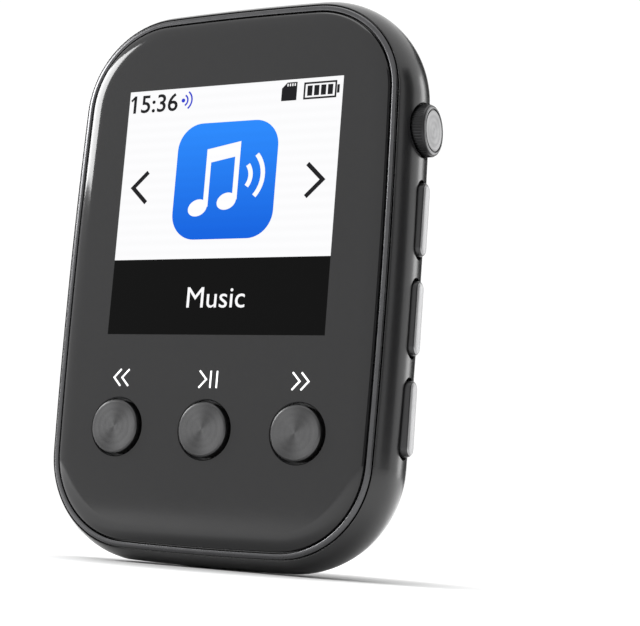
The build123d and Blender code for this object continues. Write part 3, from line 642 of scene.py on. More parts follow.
def swept_ring_tree():
    """Sweeps a closed section round a closed flat path."""
    tree = Tree("Swept ring", {"Section": "NodeSocketObject", "Section scale": "NodeSocketFloat"})
    path = tree.node("GeometryNodeMeshToCurve", {}, {0: tree.given("Geometry")})
    upright = tree.node("GeometryNodeSetCurveNormal", {"mode": "Z_UP"}, {0: path.outputs[0]})
    section = tree.node("GeometryNodeObjectInfo", {}, {0: tree.given("Section")})
    rim = tree.node("GeometryNodeMeshToCurve", {}, {0: section.outputs["Geometry"]})
    size = tree.node("GeometryNodeTransform", {}, {0: rim.outputs[0]})
    scale = tree.node("ShaderNodeCombineXYZ", {}, {0: tree.given("Section scale"), 1: tree.given("Section scale"),
                                                   2: tree.given("Section scale")})
    tree.group.links.new(scale.outputs[0], size.inputs["Scale"])
    ring = tree.node("GeometryNodeCurveToMesh", {}, {"Curve": upright.outputs[0], "Profile Curve": size.outputs[0]})
    return tree.close(ring.outputs[0])


def ridge_tree():
    """Sets one ridge many times round a rim, each facing out."""
    tree = Tree("Ridges round a rim", {"Ridge count": "NodeSocketInt", "Rim radius": "NodeSocketFloat"})
    rim = tree.node("GeometryNodeMeshCircle", {}, {"Vertices": tree.given("Ridge count"),
                                                   "Radius": tree.given("Rim radius")})
    index = tree.node("GeometryNodeInputIndex", {}, {})
    turn = tree.node("ShaderNodeMath", {"operation": "DIVIDE"}, {0: index.outputs[0], 1: tree.given("Ridge count")})
    angle = tree.node("ShaderNodeMath", {"operation": "MULTIPLY"}, {0: turn.outputs[0], 1: 2 * math.pi})
    spin = tree.node("ShaderNodeCombineXYZ", {}, {2: angle.outputs[0]})
    ridges = tree.node("GeometryNodeInstanceOnPoints", {}, {
        "Points": rim.outputs[0], "Instance": tree.given("Geometry"), "Rotation": spin.outputs[0]})
    return tree.close(ridges.outputs[0])


def row_tree():
    """Repeats a shape in a grid, columns by rows, with a pitch each way."""
    tree = Tree("Rows of one shape", {"Columns": "NodeSocketInt", "Rows": "NodeSocketInt",
                                      "Column pitch": "NodeSocketFloat", "Row pitch": "NodeSocketFloat"})
    extent = []
    for count, pitch in (("Columns", "Column pitch"), ("Rows", "Row pitch")):
        gaps = tree.node("ShaderNodeMath", {"operation": "SUBTRACT"}, {0: tree.given(count), 1: 1.0})
        extent.append(tree.node("ShaderNodeMath", {"operation": "MULTIPLY"},
                                {0: gaps.outputs[0], 1: tree.given(pitch)}).outputs[0])
    line = tree.node("ShaderNodeCombineXYZ", {}, {0: tree.given("Column pitch")})
    step = tree.node("ShaderNodeCombineXYZ", {}, {1: tree.given("Row pitch")})
    across = tree.node("GeometryNodeMeshLine", {}, {"Count": tree.given("Columns"), "Offset": line.outputs[0]})
    up = tree.node("GeometryNodeMeshLine", {}, {"Count": tree.given("Rows"), "Offset": step.outputs[0]})
    row = tree.node("GeometryNodeInstanceOnPoints", {}, {"Points": across.outputs[0],
                                                         "Instance": tree.given("Geometry")})
    grid = tree.node("GeometryNodeInstanceOnPoints", {}, {"Points": up.outputs[0], "Instance": row.outputs[0]})
    real = tree.node("GeometryNodeRealizeInstances", {}, {0: grid.outputs[0]})
    half = tree.node("ShaderNodeCombineXYZ", {}, {0: extent[0], 1: extent[1]})
    back = tree.node("ShaderNodeVectorMath", {"operation": "SCALE"}, {0: half.outputs[0], "Scale": -0.5})
    centred = tree.node("GeometryNodeTransform", {}, {0: real.outputs[0], "Translation": back.outputs[0]})
    return tree.close(centred.outputs[0])


# ---------------------------------------------------------------- settings

class PlayerSizes(bpy.types.PropertyGroup):
    """Sizes of the visible pieces."""
    lip_round: bpy.props.FloatProperty(
        name="Lip rounding", description="Radius of the casing's front and rear edges, in millimetres",
        default=0.14, min=0.02, max=0.3)
    ring_round: bpy.props.FloatProperty(
        name="Bezel rounding", description="Radius of the bezel ring's front edges, in millimetres",
        default=0.3, min=0.02, max=0.35)
    glass_round: bpy.props.FloatProperty(
        name="Glass edge", description="Width of the glass's rounded front edge, in millimetres",
        default=1.9, min=0.1, max=2.2)
    ridge_count: bpy.props.IntProperty(
        name="Crown ridges", description="Number of grip ridges round the power key", default=54, min=12, max=90)
    clip_round: bpy.props.FloatProperty(
        name="Clip edge", description="Width of the clip plate's bevelled edge, in millimetres",
        default=0.45, min=0.1, max=0.55)
    cloth_pitch: bpy.props.FloatProperty(
        name="Speaker mesh pitch", description="Distance between the speaker mesh's wires, in millimetres",
        default=0.26, min=0.2, max=0.6)


class PlayerColours(bpy.types.PropertyGroup):
    """Colours of the visible pieces."""
    casing: bpy.props.FloatVectorProperty(
        name="Casing", description="Colour of the gloss casing", subtype="COLOR", default=(0.006, 0.006, 0.0065),
        min=0, max=1)
    cover: bpy.props.FloatVectorProperty(
        name="Back cover", description="Colour of the satin back cover", subtype="COLOR",
        default=(0.012, 0.012, 0.013), min=0, max=1)
    clip: bpy.props.FloatVectorProperty(
        name="Clip", description="Colour of the clip's outer plate", subtype="COLOR",
        default=(0.011, 0.011, 0.012), min=0, max=1)
    glass: bpy.props.FloatVectorProperty(
        name="Glass", description="Colour of the print behind the glass", subtype="COLOR",
        default=(0.011, 0.011, 0.0115), min=0, max=1)
    keys: bpy.props.FloatVectorProperty(
        name="Front keys", description="Colour of the three spun metal keys", subtype="COLOR",
        default=(0.078, 0.078, 0.079), min=0, max=1)
    side_keys: bpy.props.FloatVectorProperty(
        name="Side keys", description="Colour of the three long side keys", subtype="COLOR",
        default=(0.36, 0.36, 0.364), min=0, max=1)
    power_key: bpy.props.FloatVectorProperty(
        name="Power key", description="Colour of the round power key", subtype="COLOR",
        default=(0.23, 0.23, 0.233), min=0, max=1)
    tile_top: bpy.props.FloatVectorProperty(
        name="Tile, top", description="Colour at the top of the screen's square sign", subtype="COLOR",
        default=(0.022, 0.26, 1.0), min=0, max=1)
    tile_bottom: bpy.props.FloatVectorProperty(
        name="Tile, bottom", description="Colour at the bottom of the screen's square sign", subtype="COLOR",
        default=(0.002, 0.12, 0.74), min=0, max=1)


class StageSettings(bpy.types.PropertyGroup):
    """Floor, light and camera."""
    floor: bpy.props.FloatVectorProperty(
        name="Floor", description="Colour of the floor", subtype="COLOR", default=(0.95, 0.95, 0.95), min=0, max=1)
    light: bpy.props.FloatProperty(
        name="Light", description="Strength of the studio lights", default=1.0, min=0, max=4, subtype="FACTOR")
    camera_height: bpy.props.FloatProperty(
        name="Camera height", description="Height of the camera over the floor", default=0.004, min=0.0005, max=0.2,
        subtype="DISTANCE", unit="LENGTH")


def sizes():
    """The scene's size settings."""
    return bpy.context.scene.player_sizes


def colours():
    """The scene's colour settings."""
    return bpy.context.scene.player_colours


def side_matrix(depth=SIDE_DEPTH, height=0.0):
    """Local axes of a side key: z faces right, x runs backwards, y up, at a height from the body's middle."""
    return Matrix(((0, 0, 1, CENTRE_X), (1, 0, 0, FRONT_Y + depth * MM), (0, 1, 0, MID_Z + height * MM),
                   (0, 0, 0, 1)))


def end_matrix(x, depth, up=1):
    """Local axes of a hole in the top or bottom end: z faces out of it."""
    return Matrix(((1, 0, 0, CENTRE_X + x * MM), (0, -up, 0, FRONT_Y + depth * MM), (0, 0, up, MID_Z),
                   (0, 0, 0, 1)))


def node_height(node):
    """Height of a node's middle over the body's middle, in millimetres."""
    low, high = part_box(node)
    return ((low.z + high.z) / 2 - MID_Z) / MM


# ---------------------------------------------------------------- pieces

class PieceOperator:
    """What the operators of the pieces share."""
    bl_options = {"REGISTER", "UNDO"}

    def execute(self, context):
        self.build()
        return {"FINISHED"}


class PLAYER_OT_casing(PieceOperator, bpy.types.Operator):
    """Sweep the casing and the bezel ring round the glass outline, and cut the casing's openings"""
    bl_idname = "player.casing"
    bl_label = "Casing and bezel"

    def build(self):
        lip, edge = sizes().lip_round, sizes().ring_round
        sweep = swept_ring_tree()
        gloss = moulded("gloss_casing", colours().casing, 0.24, grain=1500, relief=0.0000015, spread=0.1,
                        rough_spread=0.03, coat_weight=0.25, coat_roughness=0.14)
        inner = LEDGE_DEPTH + LEDGE_T
        section = [(LIP_IN, LIP_DEPTH, lip), (bulge_at(LIP_DEPTH), LIP_DEPTH, lip)]
        section += [(bulge_at(d), d, 0) for d in np.linspace(LIP_DEPTH, SEAM_DEPTH, 30)[1:-1]]
        section += [(bulge_at(SEAM_DEPTH), SEAM_DEPTH, lip), (bulge_at(SEAM_DEPTH, WALL), SEAM_DEPTH, 0)]
        section += [(bulge_at(d, WALL), d, 0) for d in np.linspace(SEAM_DEPTH, inner, 12)[1:]]
        section += [(-LEDGE_IN, inner, 0), (-LEDGE_IN, LEDGE_DEPTH, 0), (LIP_IN, LEDGE_DEPTH, 0)]
        shell = self.ring(sweep, "casing", rounded(section, 0), gloss)
        plain = shell.copy()
        shell = cut(shell, self.cutters())
        smooth(shell, 35)
        smooth(plain, 35)
        keep_curvature(shell, plain)
        piece("gloss_casing", shell, gloss, "body", "casing_gloss", "side_housing")
        ring_metal = drawn_metal("bezel_metal", (0.09, 0.09, 0.093), 0.27, along=(1, 1, 1), streaks=900,
                                 spread=0.08)
        ring_section = [(RING_IN, RING_DEPTH, edge), (RING_OUT, RING_DEPTH + 0.1, edge),
                        (RING_OUT, LEDGE_DEPTH, 0), (RING_IN, LEDGE_DEPTH, 0)]
        ring = self.ring(sweep, "bezel", rounded(ring_section, 0), ring_metal)
        piece("bezel_ring", smooth(ring, 40), ring_metal, "body", "bezel_metal", "front_bezel")

    @staticmethod
    def ring(sweep, name, section, material):
        """Runs the sweep with a section of (outward, depth) points and sets it in the player's frame."""
        rim = wire_loop(name + "_section", section)
        mesh = sweep.run(wire_loop(name + "_path", outline()), section=rim, section_scale=1.0, material=material)
        bpy.data.objects.remove(rim)
        mesh.transform(FACE @ Matrix.Diagonal((MM, MM, MM, 1)))
        return outward(mesh)

    @staticmethod
    def cutters():
        """Closed solids for the key pockets, the sockets, the microphone and the card slot."""
        tools = []
        for node in PILL_NODES:
            loop = rounded_box_loop(PILL_W + PILL_GAP, PILL_L + PILL_GAP, PILL_R, 8)
            tools.append(stack("pocket", [loop, loop], [-(BODY_HALF_W + 1), -(BODY_HALF_W - 2.6)],
                               side_matrix(height=node_height(node))))
        tools.append(lathe("pocket", [(0, POWER_FLOOR), (POWER_POCKET_R, POWER_FLOOR), (POWER_POCKET_R, 24), (0, 24)],
                           side_matrix(height=node_height("power_button"))))
        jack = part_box("headphone_socket")
        place = ((jack[0].x + jack[1].x) / 2 - CENTRE_X) / MM, ((jack[0].y + jack[1].y) / 2 - FRONT_Y) / MM
        tools.append(lathe("hole", [(0, 28), (2.6, 28), (2.6, 34), (0, 34)], end_matrix(*place)))
        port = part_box("charging_socket")
        place = ((port[0].x + port[1].x) / 2 - CENTRE_X) / MM, ((port[0].y + port[1].y) / 2 - FRONT_Y) / MM
        loop = rounded_box_loop(9.24, 3.5, 1.75, 10)
        tools.append(stack("hole", [loop, loop], [-34, -28], end_matrix(*place, up=-1)))
        tools.append(lathe("hole", [(0, 29), (0.5, 29), (0.5, 34), (0, 34)], end_matrix(-12.6, place[1], up=-1)))
        slot = rounded_box_loop(1.25, 11.8, 0.2, 3)
        tools.append(stack("hole", [slot, slot], [19.5, 24], side_matrix(7.15, node_height("memory_card_slot"))))
        return tools


class PLAYER_OT_glass(PieceOperator, bpy.types.Operator):
    """Make the front glass, with its rounded edge and the three key holes"""
    bl_idname = "player.glass"
    bl_label = "Front glass"

    def build(self):
        width = sizes().glass_round
        steps = np.linspace(0, math.pi / 2, 7)
        insets = [width * (1 - math.sin(a)) for a in steps]
        depths = [0.5 * (1 - math.cos(a)) for a in steps]
        loops = [outline(-i) for i in insets] + [outline(0), outline(-0.08)]
        slab = stack("glass", loops, depths + [GLASS_T - 0.08, GLASS_T], angle=40)
        holes = []
        for node in KEY_NODES:
            low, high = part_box(node)
            spot = FACE @ Matrix.Translation((((low.x + high.x) / 2 - CENTRE_X), node_height(node) * MM, 0))
            holes.append(lathe("hole", [(0, -2), (KEY_HOLE_R, -2), (KEY_HOLE_R, -0.1), (KEY_HOLE_R + 0.1, 0),
                                        (KEY_HOLE_R + 0.1, 1), (0, 1)], spot))
        glass = smooth(cut(slab, holes), 40)
        finish = black_glass("front_glass_dark", colours().glass, 0.07)
        piece("front_glass_plate", glass, finish, "body", "front_glass_dark", "front_glass")


class PLAYER_OT_screen(PieceOperator, bpy.types.Operator):
    """Make the lit screen: white field, black band, square sign, arrows, clock and small signs"""
    bl_idname = "player.screen"
    bl_label = "Lit screen"

    def build(self):
        def on_screen(loops):
            return [[(x, y + SCREEN_Y) for x, y in loop] for loop in loops]

        def height(y):
            return MID_Z + (y + SCREEN_Y) * MM

        half_w, top, split, bottom = 13.86, 14.32, -5.73, -14.33
        white = lit("screen_white", (0.93, 0.93, 0.94), height(split), height(top), 1.05)
        field = [(-half_w, split), (half_w, split), (half_w, top), (-half_w, top)]
        self.area("screen_field", on_screen([field]), 0.012, white)
        black = lit("screen_black", (0.0015, 0.0015, 0.0015), height(bottom), height(split))
        lower = [(-half_w, bottom), (half_w, bottom), (half_w, split), (-half_w, split)]
        self.area("screen_band", on_screen([lower]), 0.012, black)
        blue = lit("screen_blue", colours().tile_top, height(-3.6), height(10.0), bottom=tuple(colours().tile_bottom))
        tile = [(x - 0.1, y + 3.2) for x, y in rounded_box_loop(13.0, 13.5, 3.1, 12)]
        self.area("screen_tile", on_screen([tile]), 0.022, blue)
        # A note and two sound arcs on the tile
        marks = [self.disc((-3.35, 0.1), 1.25, 0.95), self.disc((0.35, 0.75), 1.25, 0.95)]
        marks += [band([(-2.35, 0.2), (-2.35, 6.6)], 0.62), band([(1.35, 0.9), (1.35, 7.25)], 0.62),
                  [(-2.66, 5.2), (1.66, 5.95), (1.66, 7.6), (-2.66, 6.85)]]
        ink_white = lit("screen_sign_white", (0.95, 0.95, 0.96), height(-3), height(9), 1.05)
        bows = [band(arc((1.2, 3.6), 2.0, -38, 38), 0.55), band(arc((1.2, 3.6), 3.55, -42, 42), 0.55)]
        shapes = [printed("mark", on_screen([m]), 0.032) for m in marks + bows]
        piece("screen_note", joined("note", shapes), ink_white, "body", "screen_glass")
        dark = lit("screen_sign_dark", (0.012, 0.012, 0.014), height(0), height(14))
        signs = [band([(-10.35, 4.55), (-12.25, 2.75), (-10.35, 0.95)], 0.5),
                 band([(10.25, 4.6), (12.2, 2.75), (10.25, 0.9)], 0.5)]
        card = [(6.3, 11.9), (8.2, 11.9), (8.2, 14.0), (6.95, 14.0), (6.3, 13.35)]
        frame_out = [(9.05, 11.9), (13.1, 11.9), (13.1, 13.85), (9.05, 13.85)]
        frame_in = [(9.26, 12.11), (12.89, 12.11), (12.89, 13.64), (9.26, 13.64)]
        nub = [(13.15, 12.4), (13.45, 12.4), (13.45, 13.35), (13.15, 13.35)]
        shapes = [printed("sign", on_screen([s]), 0.022) for s in signs]
        shapes += [printed("battery", on_screen([frame_out, frame_in]), 0.022),
                   printed("nub", on_screen([nub]), 0.022)]
        contacts = [[(x, 13.55), (x + 0.16, 13.55), (x + 0.16, 13.86), (x, 13.86)] for x in (6.95, 7.25, 7.55, 7.85)]
        shapes.append(printed("card", on_screen([card] + contacts), 0.022))
        shapes.append(lettered("clock", "15:36", 2.95, (-10.5, 12.75 + SCREEN_Y), 0.022, squeeze=1.02,
                               weight=0.035))
        shapes.append(printed("stroke", on_screen([band([(-13.1, 13.68), (-13.62, 13.2)], 0.26)]), 0.022))
        piece("screen_signs", joined("signs", shapes), dark, "body", "screen_glass")
        bar = printed("bar", [[(-0.31, -0.58), (0.31, -0.58), (0.31, 0.58), (-0.31, 0.58)]], 0.022,
                      matrix=Matrix.Scale(1000, 4))
        bars = row_tree().run(new_object("bar", bar), columns=4, rows=1, column_pitch=0.84, row_pitch=1.0,
                              material=dark)
        bars.transform(FACE @ Matrix.Translation((11.075 * MM, (12.875 + SCREEN_Y) * MM, 0)) @ Matrix.Scale(MM, 4))
        piece("screen_charge_bars", bars, dark, "body", "screen_glass")
        small_blue = lit("screen_sign_blue", (0.03, 0.05, 0.62), height(11), height(14))
        waves = [band(arc((-6.6, 12.85), 0.7, -60, 60, 8), 0.2), band(arc((-6.6, 12.85), 1.25, -52, 52, 10), 0.2),
                 self.disc((-6.5, 12.85), 0.24, 0.24)]
        shapes = [printed("wave", on_screen([w]), 0.022) for w in waves]
        piece("screen_signal", joined("signal", shapes), small_blue, "body", "screen_glass")
        label = lettered("label", "Music", 3.35, (0.0, -10.15 + SCREEN_Y), 0.022)
        piece("screen_label", label, ink_white, "body", "screen_glass")

    @staticmethod
    def disc(centre, across, up, turn=18):
        """An ellipse that leans a little, as a note's head does."""
        lean = math.radians(turn)
        points = []
        for a in np.linspace(0, 2 * math.pi, 28, endpoint=False):
            x, y = across * math.cos(a), up * math.sin(a)
            points.append((centre[0] + x * math.cos(lean) - y * math.sin(lean),
                           centre[1] + x * math.sin(lean) + y * math.cos(lean)))
        return points

    @staticmethod
    def area(name, loops, lift, material):
        """A lit field of the screen."""
        piece(name, printed(name, loops, lift), material, "body", "screen_glass")


class PLAYER_OT_legends(PieceOperator, bpy.types.Operator):
    """Print the signs over the three front keys"""
    bl_idname = "player.legends"
    bl_label = "Key signs"

    def build(self):
        line, middle = 0.21, -11.65
        tall, reach = 0.95, 0.9
        x = ((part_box("next_button")[0].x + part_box("next_button")[1].x) / 2 - CENTRE_X) / MM

        def hook(at, way):
            return band([(at, middle + tall), (at + way * reach, middle), (at, middle - tall)], line)

        strokes = [hook(-x - 0.02, -1), hook(-x + 1.05, -1), hook(x + 0.02, 1), hook(x - 1.05, 1),
                   hook(-1.15, 1), band([(0.3, middle + tall), (0.3, middle - tall)], line),
                   band([(1.1, middle + tall), (1.1, middle - tall)], line)]
        shapes = [printed("stroke", [s], 0.012, 0.012) for s in strokes]
        # Painted light: the printed signs are given a faint glow of their own.
        piece("key_signs", joined("signs", shapes), ink("sign_white", (0.86, 0.86, 0.86), 0.4, power=0.35),
              "body", "front_glass_dark")


class PLAYER_OT_front_keys(PieceOperator, bpy.types.Operator):
    """Turn the three round front keys, with spun faces and bevelled rims"""
    bl_idname = "player.front_keys"
    bl_label = "Front keys"

    def build(self):
        for node in KEY_NODES:
            low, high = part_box(node)
            x, z = (low.x + high.x) / 2, (low.z + high.z) / 2
            proud = (FRONT_Y - low.y) / MM
            profile = [(0, proud - 0.035), (1.0, proud - 0.033), (2.0, proud - 0.022), (2.62, proud - 0.005),
                       (2.72, proud), (2.8, proud - 0.012), (2.93, proud - 0.1), (2.985, proud - 0.17),
                       (3.0, proud - 0.25), (3.0, -1.25), (3.75, -1.25), (3.75, -1.75), (1.5, -1.75),
                       (1.5, -1.85), (0, -1.85)]
            spot = Matrix(((1, 0, 0, x), (0, 0, -1, FRONT_Y), (0, 1, 0, z), (0, 0, 0, 1)))
            metal = spun_metal(node + "_metal", colours().keys, 0.36, (x, 0, z), sectors=4.0)
            key = lathe(node, profile[::-1], spot, steps=96, angle=25)
            piece(node.replace("button", "key_top"), key, metal, node.replace("button", "key"), "key_metal", node)


class PLAYER_OT_side_keys(PieceOperator, bpy.types.Operator):
    """Make the three long side keys, with bevelled rims and lightly dished faces"""
    bl_idname = "player.side_keys"
    bl_label = "Side keys"

    def build(self):
        metal = drawn_metal("side_key_metal", colours().side_keys, 0.36, along=(1, 1, 0.06), streaks=5200,
                            spread=0.08, metallic=0.85)
        # Painted shade: the key's walls behind its face are darkened.
        paint_light_on_walls(metal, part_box(PILL_NODES[0])[1].x - 0.1 * MM, 1, ((0.05, 0.05, 0.051), 0.3))
        for node in PILL_NODES:
            face = (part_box(node)[1].x - CENTRE_X) / MM
            place = side_matrix(height=node_height(node))
            insets = [(0.62, -0.03), (0.4, -0.01), (0.34, 0.0), (0.2, 0.06), (0.08, 0.17), (0.0, 0.34)]
            loops = [rounded_box_loop(PILL_W - 2 * i, PILL_L - 2 * i, PILL_R, 9) for i, _ in insets]
            depths = [abs(d) for _, d in insets]
            flange = rounded_box_loop(PILL_FLANGE_W, PILL_FLANGE_L, PILL_R, 9)
            loops += [rounded_box_loop(PILL_W, PILL_L, PILL_R, 9), flange, flange]
            depths += [face - 20.0, face - 20.0, face - 19.4]
            key = stack(node, loops, [d - face for d in depths], place, angle=28)
            nub = lathe("nub", [(0, STEM_END), (0.9, STEM_END), (0.9, 19.41), (0, 19.41)], place, steps=32)
            piece(node.replace("button", "key_top"), joined(node, [key, nub]), metal,
                  node.replace("button", "key"), "side_key_metal", node)


class PLAYER_OT_power_key(PieceOperator, bpy.types.Operator):
    """Turn the round power key, with a fine ring in its face and grip ridges round its rim"""
    bl_idname = "player.power_key"
    bl_label = "Power key"

    def build(self):
        node = "power_button"
        face = (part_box(node)[1].x - CENTRE_X) / MM
        place = side_matrix(height=node_height(node))
        profile = [(0, STEM_END), (1.6, STEM_END), (1.6, 18.9), (1.2, 18.9), (1.2, 19.22), (1.6, 19.22), (1.6, 20.9),
                   (2.78, 20.9), (2.8, face - 0.32), (2.74, face - 0.14), (2.6, face - 0.03), (2.46, face),
                   (2.42, face), (2.4, face - 0.12), (2.22, face - 0.12), (2.2, face - 0.01), (1.2, face - 0.03),
                   (0, face - 0.04)]
        body = lathe("power_key", profile, place, steps=96, angle=28)
        x, z = CENTRE_X, MID_Z + node_height(node) * MM
        metal = spun_metal("power_key_metal", colours().power_key, 0.34, (x, FRONT_Y + SIDE_DEPTH * MM, z),
                           facing="X", spread=0.1)
        # Painted shade: the key's sides and grip ridges behind its face are darkened.
        paint_light_on_walls(metal, CENTRE_X + (face - 0.08) * MM, 1, ((0.035, 0.035, 0.036), 0.35))
        ridge_loop = [(0.0, -0.085), (0.07, -0.05), (0.09, 0.0), (0.07, 0.05), (0.0, 0.085), (-0.06, 0.0)]
        ridge = stack("ridge", [ridge_loop, ridge_loop], [-(face - 0.34), -20.95], Matrix.Scale(1000, 4), angle=60)
        ridges = ridge_tree().run(new_object("ridge", ridge), ridge_count=sizes().ridge_count, rim_radius=2.78,
                                  material=metal)
        ridges.transform(place @ Matrix.Scale(MM, 4))
        piece("power_key_top", joined("power_key", [body, smooth(ridges, 60)]), metal, "power_key",
              "power_key_metal", node)


class PLAYER_OT_clip(PieceOperator, bpy.types.Operator):
    """Make the clip's outer plate, with its rounded corners and a lighter bevelled edge, partly its bright rim and
    partly a painted highlight
    """
    bl_idname = "player.clip"
    bl_label = "Clip plate"

    def build(self):
        low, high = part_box("clip_cover")
        width, tall, thick = (high.x - low.x) / MM, (high.z - low.z) / MM, (high.y - low.y) / MM
        middle = Matrix.Translation((0, ((low.z + high.z) / 2 - MID_Z), 0))
        back = (high.y - FRONT_Y) / MM
        edge = sizes().clip_round
        steps = np.linspace(0, math.pi / 2, 6)
        insets = [edge * (1 - math.sin(a)) for a in steps]
        depths = [back - 0.05 - edge * 0.8 * (1 - math.cos(a)) for a in steps]
        loops = [rounded_box_loop(width - 2 * (edge + 2.0), tall - 2 * (edge + 2.0), 2.4, 12)]
        loops += [rounded_box_loop(width - 2 * i, tall - 2 * i, 4.0 - i, 12) for i in insets]
        loops += [rounded_box_loop(width - 2 * i, tall - 2 * i, 4.0 - i, 12) for i in (0, 0.15)]
        plate = stack("clip", loops, [back] + depths + [back - thick + 0.15, back - thick], FACE @ middle, angle=50)
        satin = moulded("clip_satin", colours().clip, 0.42, grain=5200, relief=0.000004, spread=0.08,
                        specular_ior_level=0.35)
        # The bevel and sides take a lighter, glossier tone: partly the rim's bright metal edge, partly a painted
        # highlight along it.
        paint_light_on_walls(satin, high.y - 0.07 * MM, 1, ((0.2, 0.2, 0.204), 0.14), axis=1)
        piece("clip_plate", plate, satin, "clip", "clip_satin", "clip_cover")


class PLAYER_OT_speaker_cloth(PieceOperator, bpy.types.Operator):
    """Weave the wire mesh behind the speaker holes"""
    bl_idname = "player.speaker_cloth"
    bl_label = "Speaker mesh"

    def build(self):
        low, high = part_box("speaker_mesh")
        width, tall = (high.x - low.x) / MM - 0.2, (high.z - low.z) / MM - 0.2
        pitch, wire = sizes().cloth_pitch, 0.028
        rows = row_tree()
        dark = drawn_metal("speaker_wire", (0.05, 0.05, 0.052), 0.5, streaks=3000)
        cross = [(-wire, 0), (0, -wire), (wire, 0), (0, wire)]
        depth = ((low.y + high.y) / 2 - FRONT_Y) / MM
        middle = FACE @ Matrix.Translation(((low.x + high.x) / 2 - CENTRE_X, (low.z + high.z) / 2 - MID_Z,
                                            -depth * MM)) @ Matrix.Scale(MM, 4)
        warp = stack("wire", [cross, cross], [-tall / 2, tall / 2],
                     Matrix.Rotation(math.pi / 2, 4, "X") @ Matrix.Scale(1000, 4), angle=80)
        weft = stack("wire", [cross, cross], [-width / 2, width / 2],
                     Matrix.Rotation(math.pi / 2, 4, "Y") @ Matrix.Scale(1000, 4), angle=80)
        columns, lines = int(width / pitch) - 6, int(tall / pitch) - 6
        meshes = [rows.run(new_object("warp", warp), columns=columns, rows=1, column_pitch=pitch, row_pitch=1.0,
                           material=dark),
                  rows.run(new_object("weft", weft), columns=1, rows=lines, column_pitch=1.0, row_pitch=pitch,
                           material=dark)]
        meshes[0].transform(middle @ Matrix.Translation((0, 0, wire)))
        meshes[1].transform(middle @ Matrix.Translation((0, 0, -wire)))
        piece("speaker_cloth", joined("cloth", meshes), dark, "body", "mesh_black", "speaker_mesh")


class PLAYER_OT_finishes(PieceOperator, bpy.types.Operator):
    """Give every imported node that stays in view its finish"""
    bl_idname = "player.finishes"
    bl_label = "Other finishes"

    def build(self):
        bright = drawn_metal("bright_steel", (0.6, 0.6, 0.6), 0.28, streaks=1800)
        dull = drawn_metal("dark_steel", (0.16, 0.16, 0.165), 0.36, streaks=1800)
        green = circuit_board("board_mask", (0.012, 0.075, 0.035))
        foam = soft_foam("foam_dark", (0.03, 0.03, 0.031))
        black = moulded("frame_black", (0.028, 0.028, 0.03), 0.55)
        finishes = {
            "back_cover": moulded("cover_satin", colours().cover, 0.3, grain=3600, relief=0.000004, spread=0.08,
                                  coat_weight=0.15, coat_roughness=0.2),
            "clip_arm": moulded("clip_arm_black", (0.016, 0.016, 0.017), 0.42, grain=3600),
            "clip_bracket": dull, "clip_hinge_pin": bright, "clip_spring": bright,
            "charging_socket": bright, "memory_card_slot": dull, "processor_can": bright, "microphone": bright,
            "front_dome_switches": bright, "side_switches": bright, "board_screws": bright,
            "bracket_screws": bright, "power_button_ring": bright,
            "headphone_socket": moulded("socket_black", (0.02, 0.02, 0.021), 0.35),
            "main_board": green, "side_key_board": green, "front_key_board": green,
            "key_membrane": soft_foam("silicone_grey", (0.3, 0.31, 0.32), 900),
            "battery_pad": foam, "speaker_gasket": foam,
            "display_panel": black_glass("panel_glass", (0.03, 0.03, 0.034), 0.08),
            "display_backlight": moulded("light_guide_white", (0.75, 0.76, 0.78), 0.5),
            "display_flex": moulded("flex_amber", (0.42, 0.2, 0.03), 0.4, grain=2400),
            "inner_frame": black, "memory_chip": moulded("chip_black", (0.02, 0.02, 0.02), 0.6),
            "speaker_driver": moulded("speaker_black", (0.03, 0.03, 0.032), 0.5),
            "battery": drawn_metal("battery_foil", (0.55, 0.56, 0.58), 0.35, along=(0.2, 1, 1), streaks=900),
        }
        for name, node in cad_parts.items():
            if node.hide_render:
                continue
            if name not in finishes:
                raise RuntimeError(f"the node {name} has no finish")
            node.data.materials.clear()
            node.data.materials.append(finishes[name])


